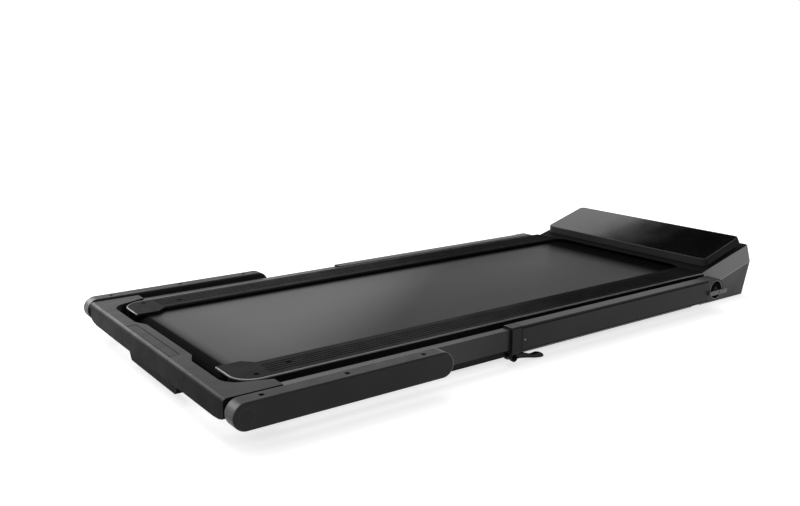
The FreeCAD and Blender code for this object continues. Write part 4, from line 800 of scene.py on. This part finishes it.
def make_floor():
    """A pale floor whose glow shows straight and in mirrors, but lights no matt surface."""
    mesh = bpy.data.meshes.new("floor")
    work = bmesh.new()
    bmesh.ops.create_grid(work, x_segments=FLOOR_CELLS, y_segments=FLOOR_CELLS, size=FLOOR_SIZE)
    work.to_mesh(mesh)
    work.free()
    floor = bpy.data.objects.new("floor", mesh)
    SCENE.collection.objects.link(floor)
    material = bpy.data.materials.new("floor")
    material.use_nodes = True
    tree = material.node_tree
    tree.nodes.clear()
    output = tree.nodes.new("ShaderNodeOutputMaterial")
    matt = tree.nodes.new("ShaderNodeBsdfDiffuse")
    matt.inputs["Color"].default_value = grey(FLOOR_GREY)
    glow = tree.nodes.new("ShaderNodeEmission")
    added = tree.nodes.new("ShaderNodeAddShader")
    strength = tree.nodes.new("ShaderNodeMath")
    strength.operation = "MULTIPLY"
    strength.inputs[1].default_value = FLOOR_GLOW
    tree.links.new(shown(tree), strength.inputs[0])
    tree.links.new(strength.outputs[0], glow.inputs["Strength"])
    tree.links.new(matt.outputs[0], added.inputs[0])
    tree.links.new(glow.outputs[0], added.inputs[1])
    tree.links.new(added.outputs[0], output.inputs["Surface"])
    mesh.materials.append(material)


def make_world():
    """A white sky that lights the object less than it shows."""
    world = bpy.data.worlds.new("studio")
    SCENE.world = world
    world.use_nodes = True
    tree = world.node_tree
    back = tree.nodes["Background"]
    back.inputs["Color"].default_value = grey(1)
    strength = tree.nodes.new("ShaderNodeMath")
    strength.operation = "MULTIPLY_ADD"
    strength.inputs[1].default_value = SKY_SHOWN - SKY_LIGHT
    strength.inputs[2].default_value = SKY_LIGHT
    tree.links.new(shown(tree), strength.inputs[0])
    tree.links.new(strength.outputs[0], back.inputs["Strength"])


def make_lamp(name, place, aim, size, power):
    data = bpy.data.lights.new(name, "AREA")
    data.shape = "RECTANGLE"
    data.size, data.size_y = size
    data.energy = power
    lamp = bpy.data.objects.new(name, data)
    SCENE.collection.objects.link(lamp)
    lamp.location = place
    lamp.rotation_mode = "QUATERNION"
    lamp.rotation_quaternion = (Vector(aim) - Vector(place)).to_track_quat("-Z", "Y")


def make_flag():
    """A black card that only mirrors show, as a studio sets one up to keep gloss dark."""
    mesh = bpy.data.meshes.new("flag")
    mesh.from_pydata(FLAG_CORNERS, [], [range(len(FLAG_CORNERS))])
    card = bpy.data.objects.new("flag", mesh)
    SCENE.collection.objects.link(card)
    material = bpy.data.materials.new("flag")
    material.use_nodes = True
    principled = material.node_tree.nodes["Principled BSDF"]
    principled.inputs["Base Color"].default_value = grey(FLAG_GREY)
    principled.inputs["Roughness"].default_value = 1.0
    principled.inputs["Specular IOR Level"].default_value = 0.0
    mesh.materials.append(material)
    card.visible_camera = False
    card.visible_diffuse = False
    card.visible_shadow = False
    card.visible_transmission = False


make_floor()
make_world()
make_lamp("key", place=(-0.4, 0.9, 2.6), aim=(0, 0, 0), size=(2.6, 2.0), power=40)
make_lamp("back", place=(-1.2, 2.8, 1.2), aim=(-0.2, 0, 0), size=(2.2, 1.2), power=34)
make_flag()
bpy.context.scene.view_settings.view_transform = "Standard"
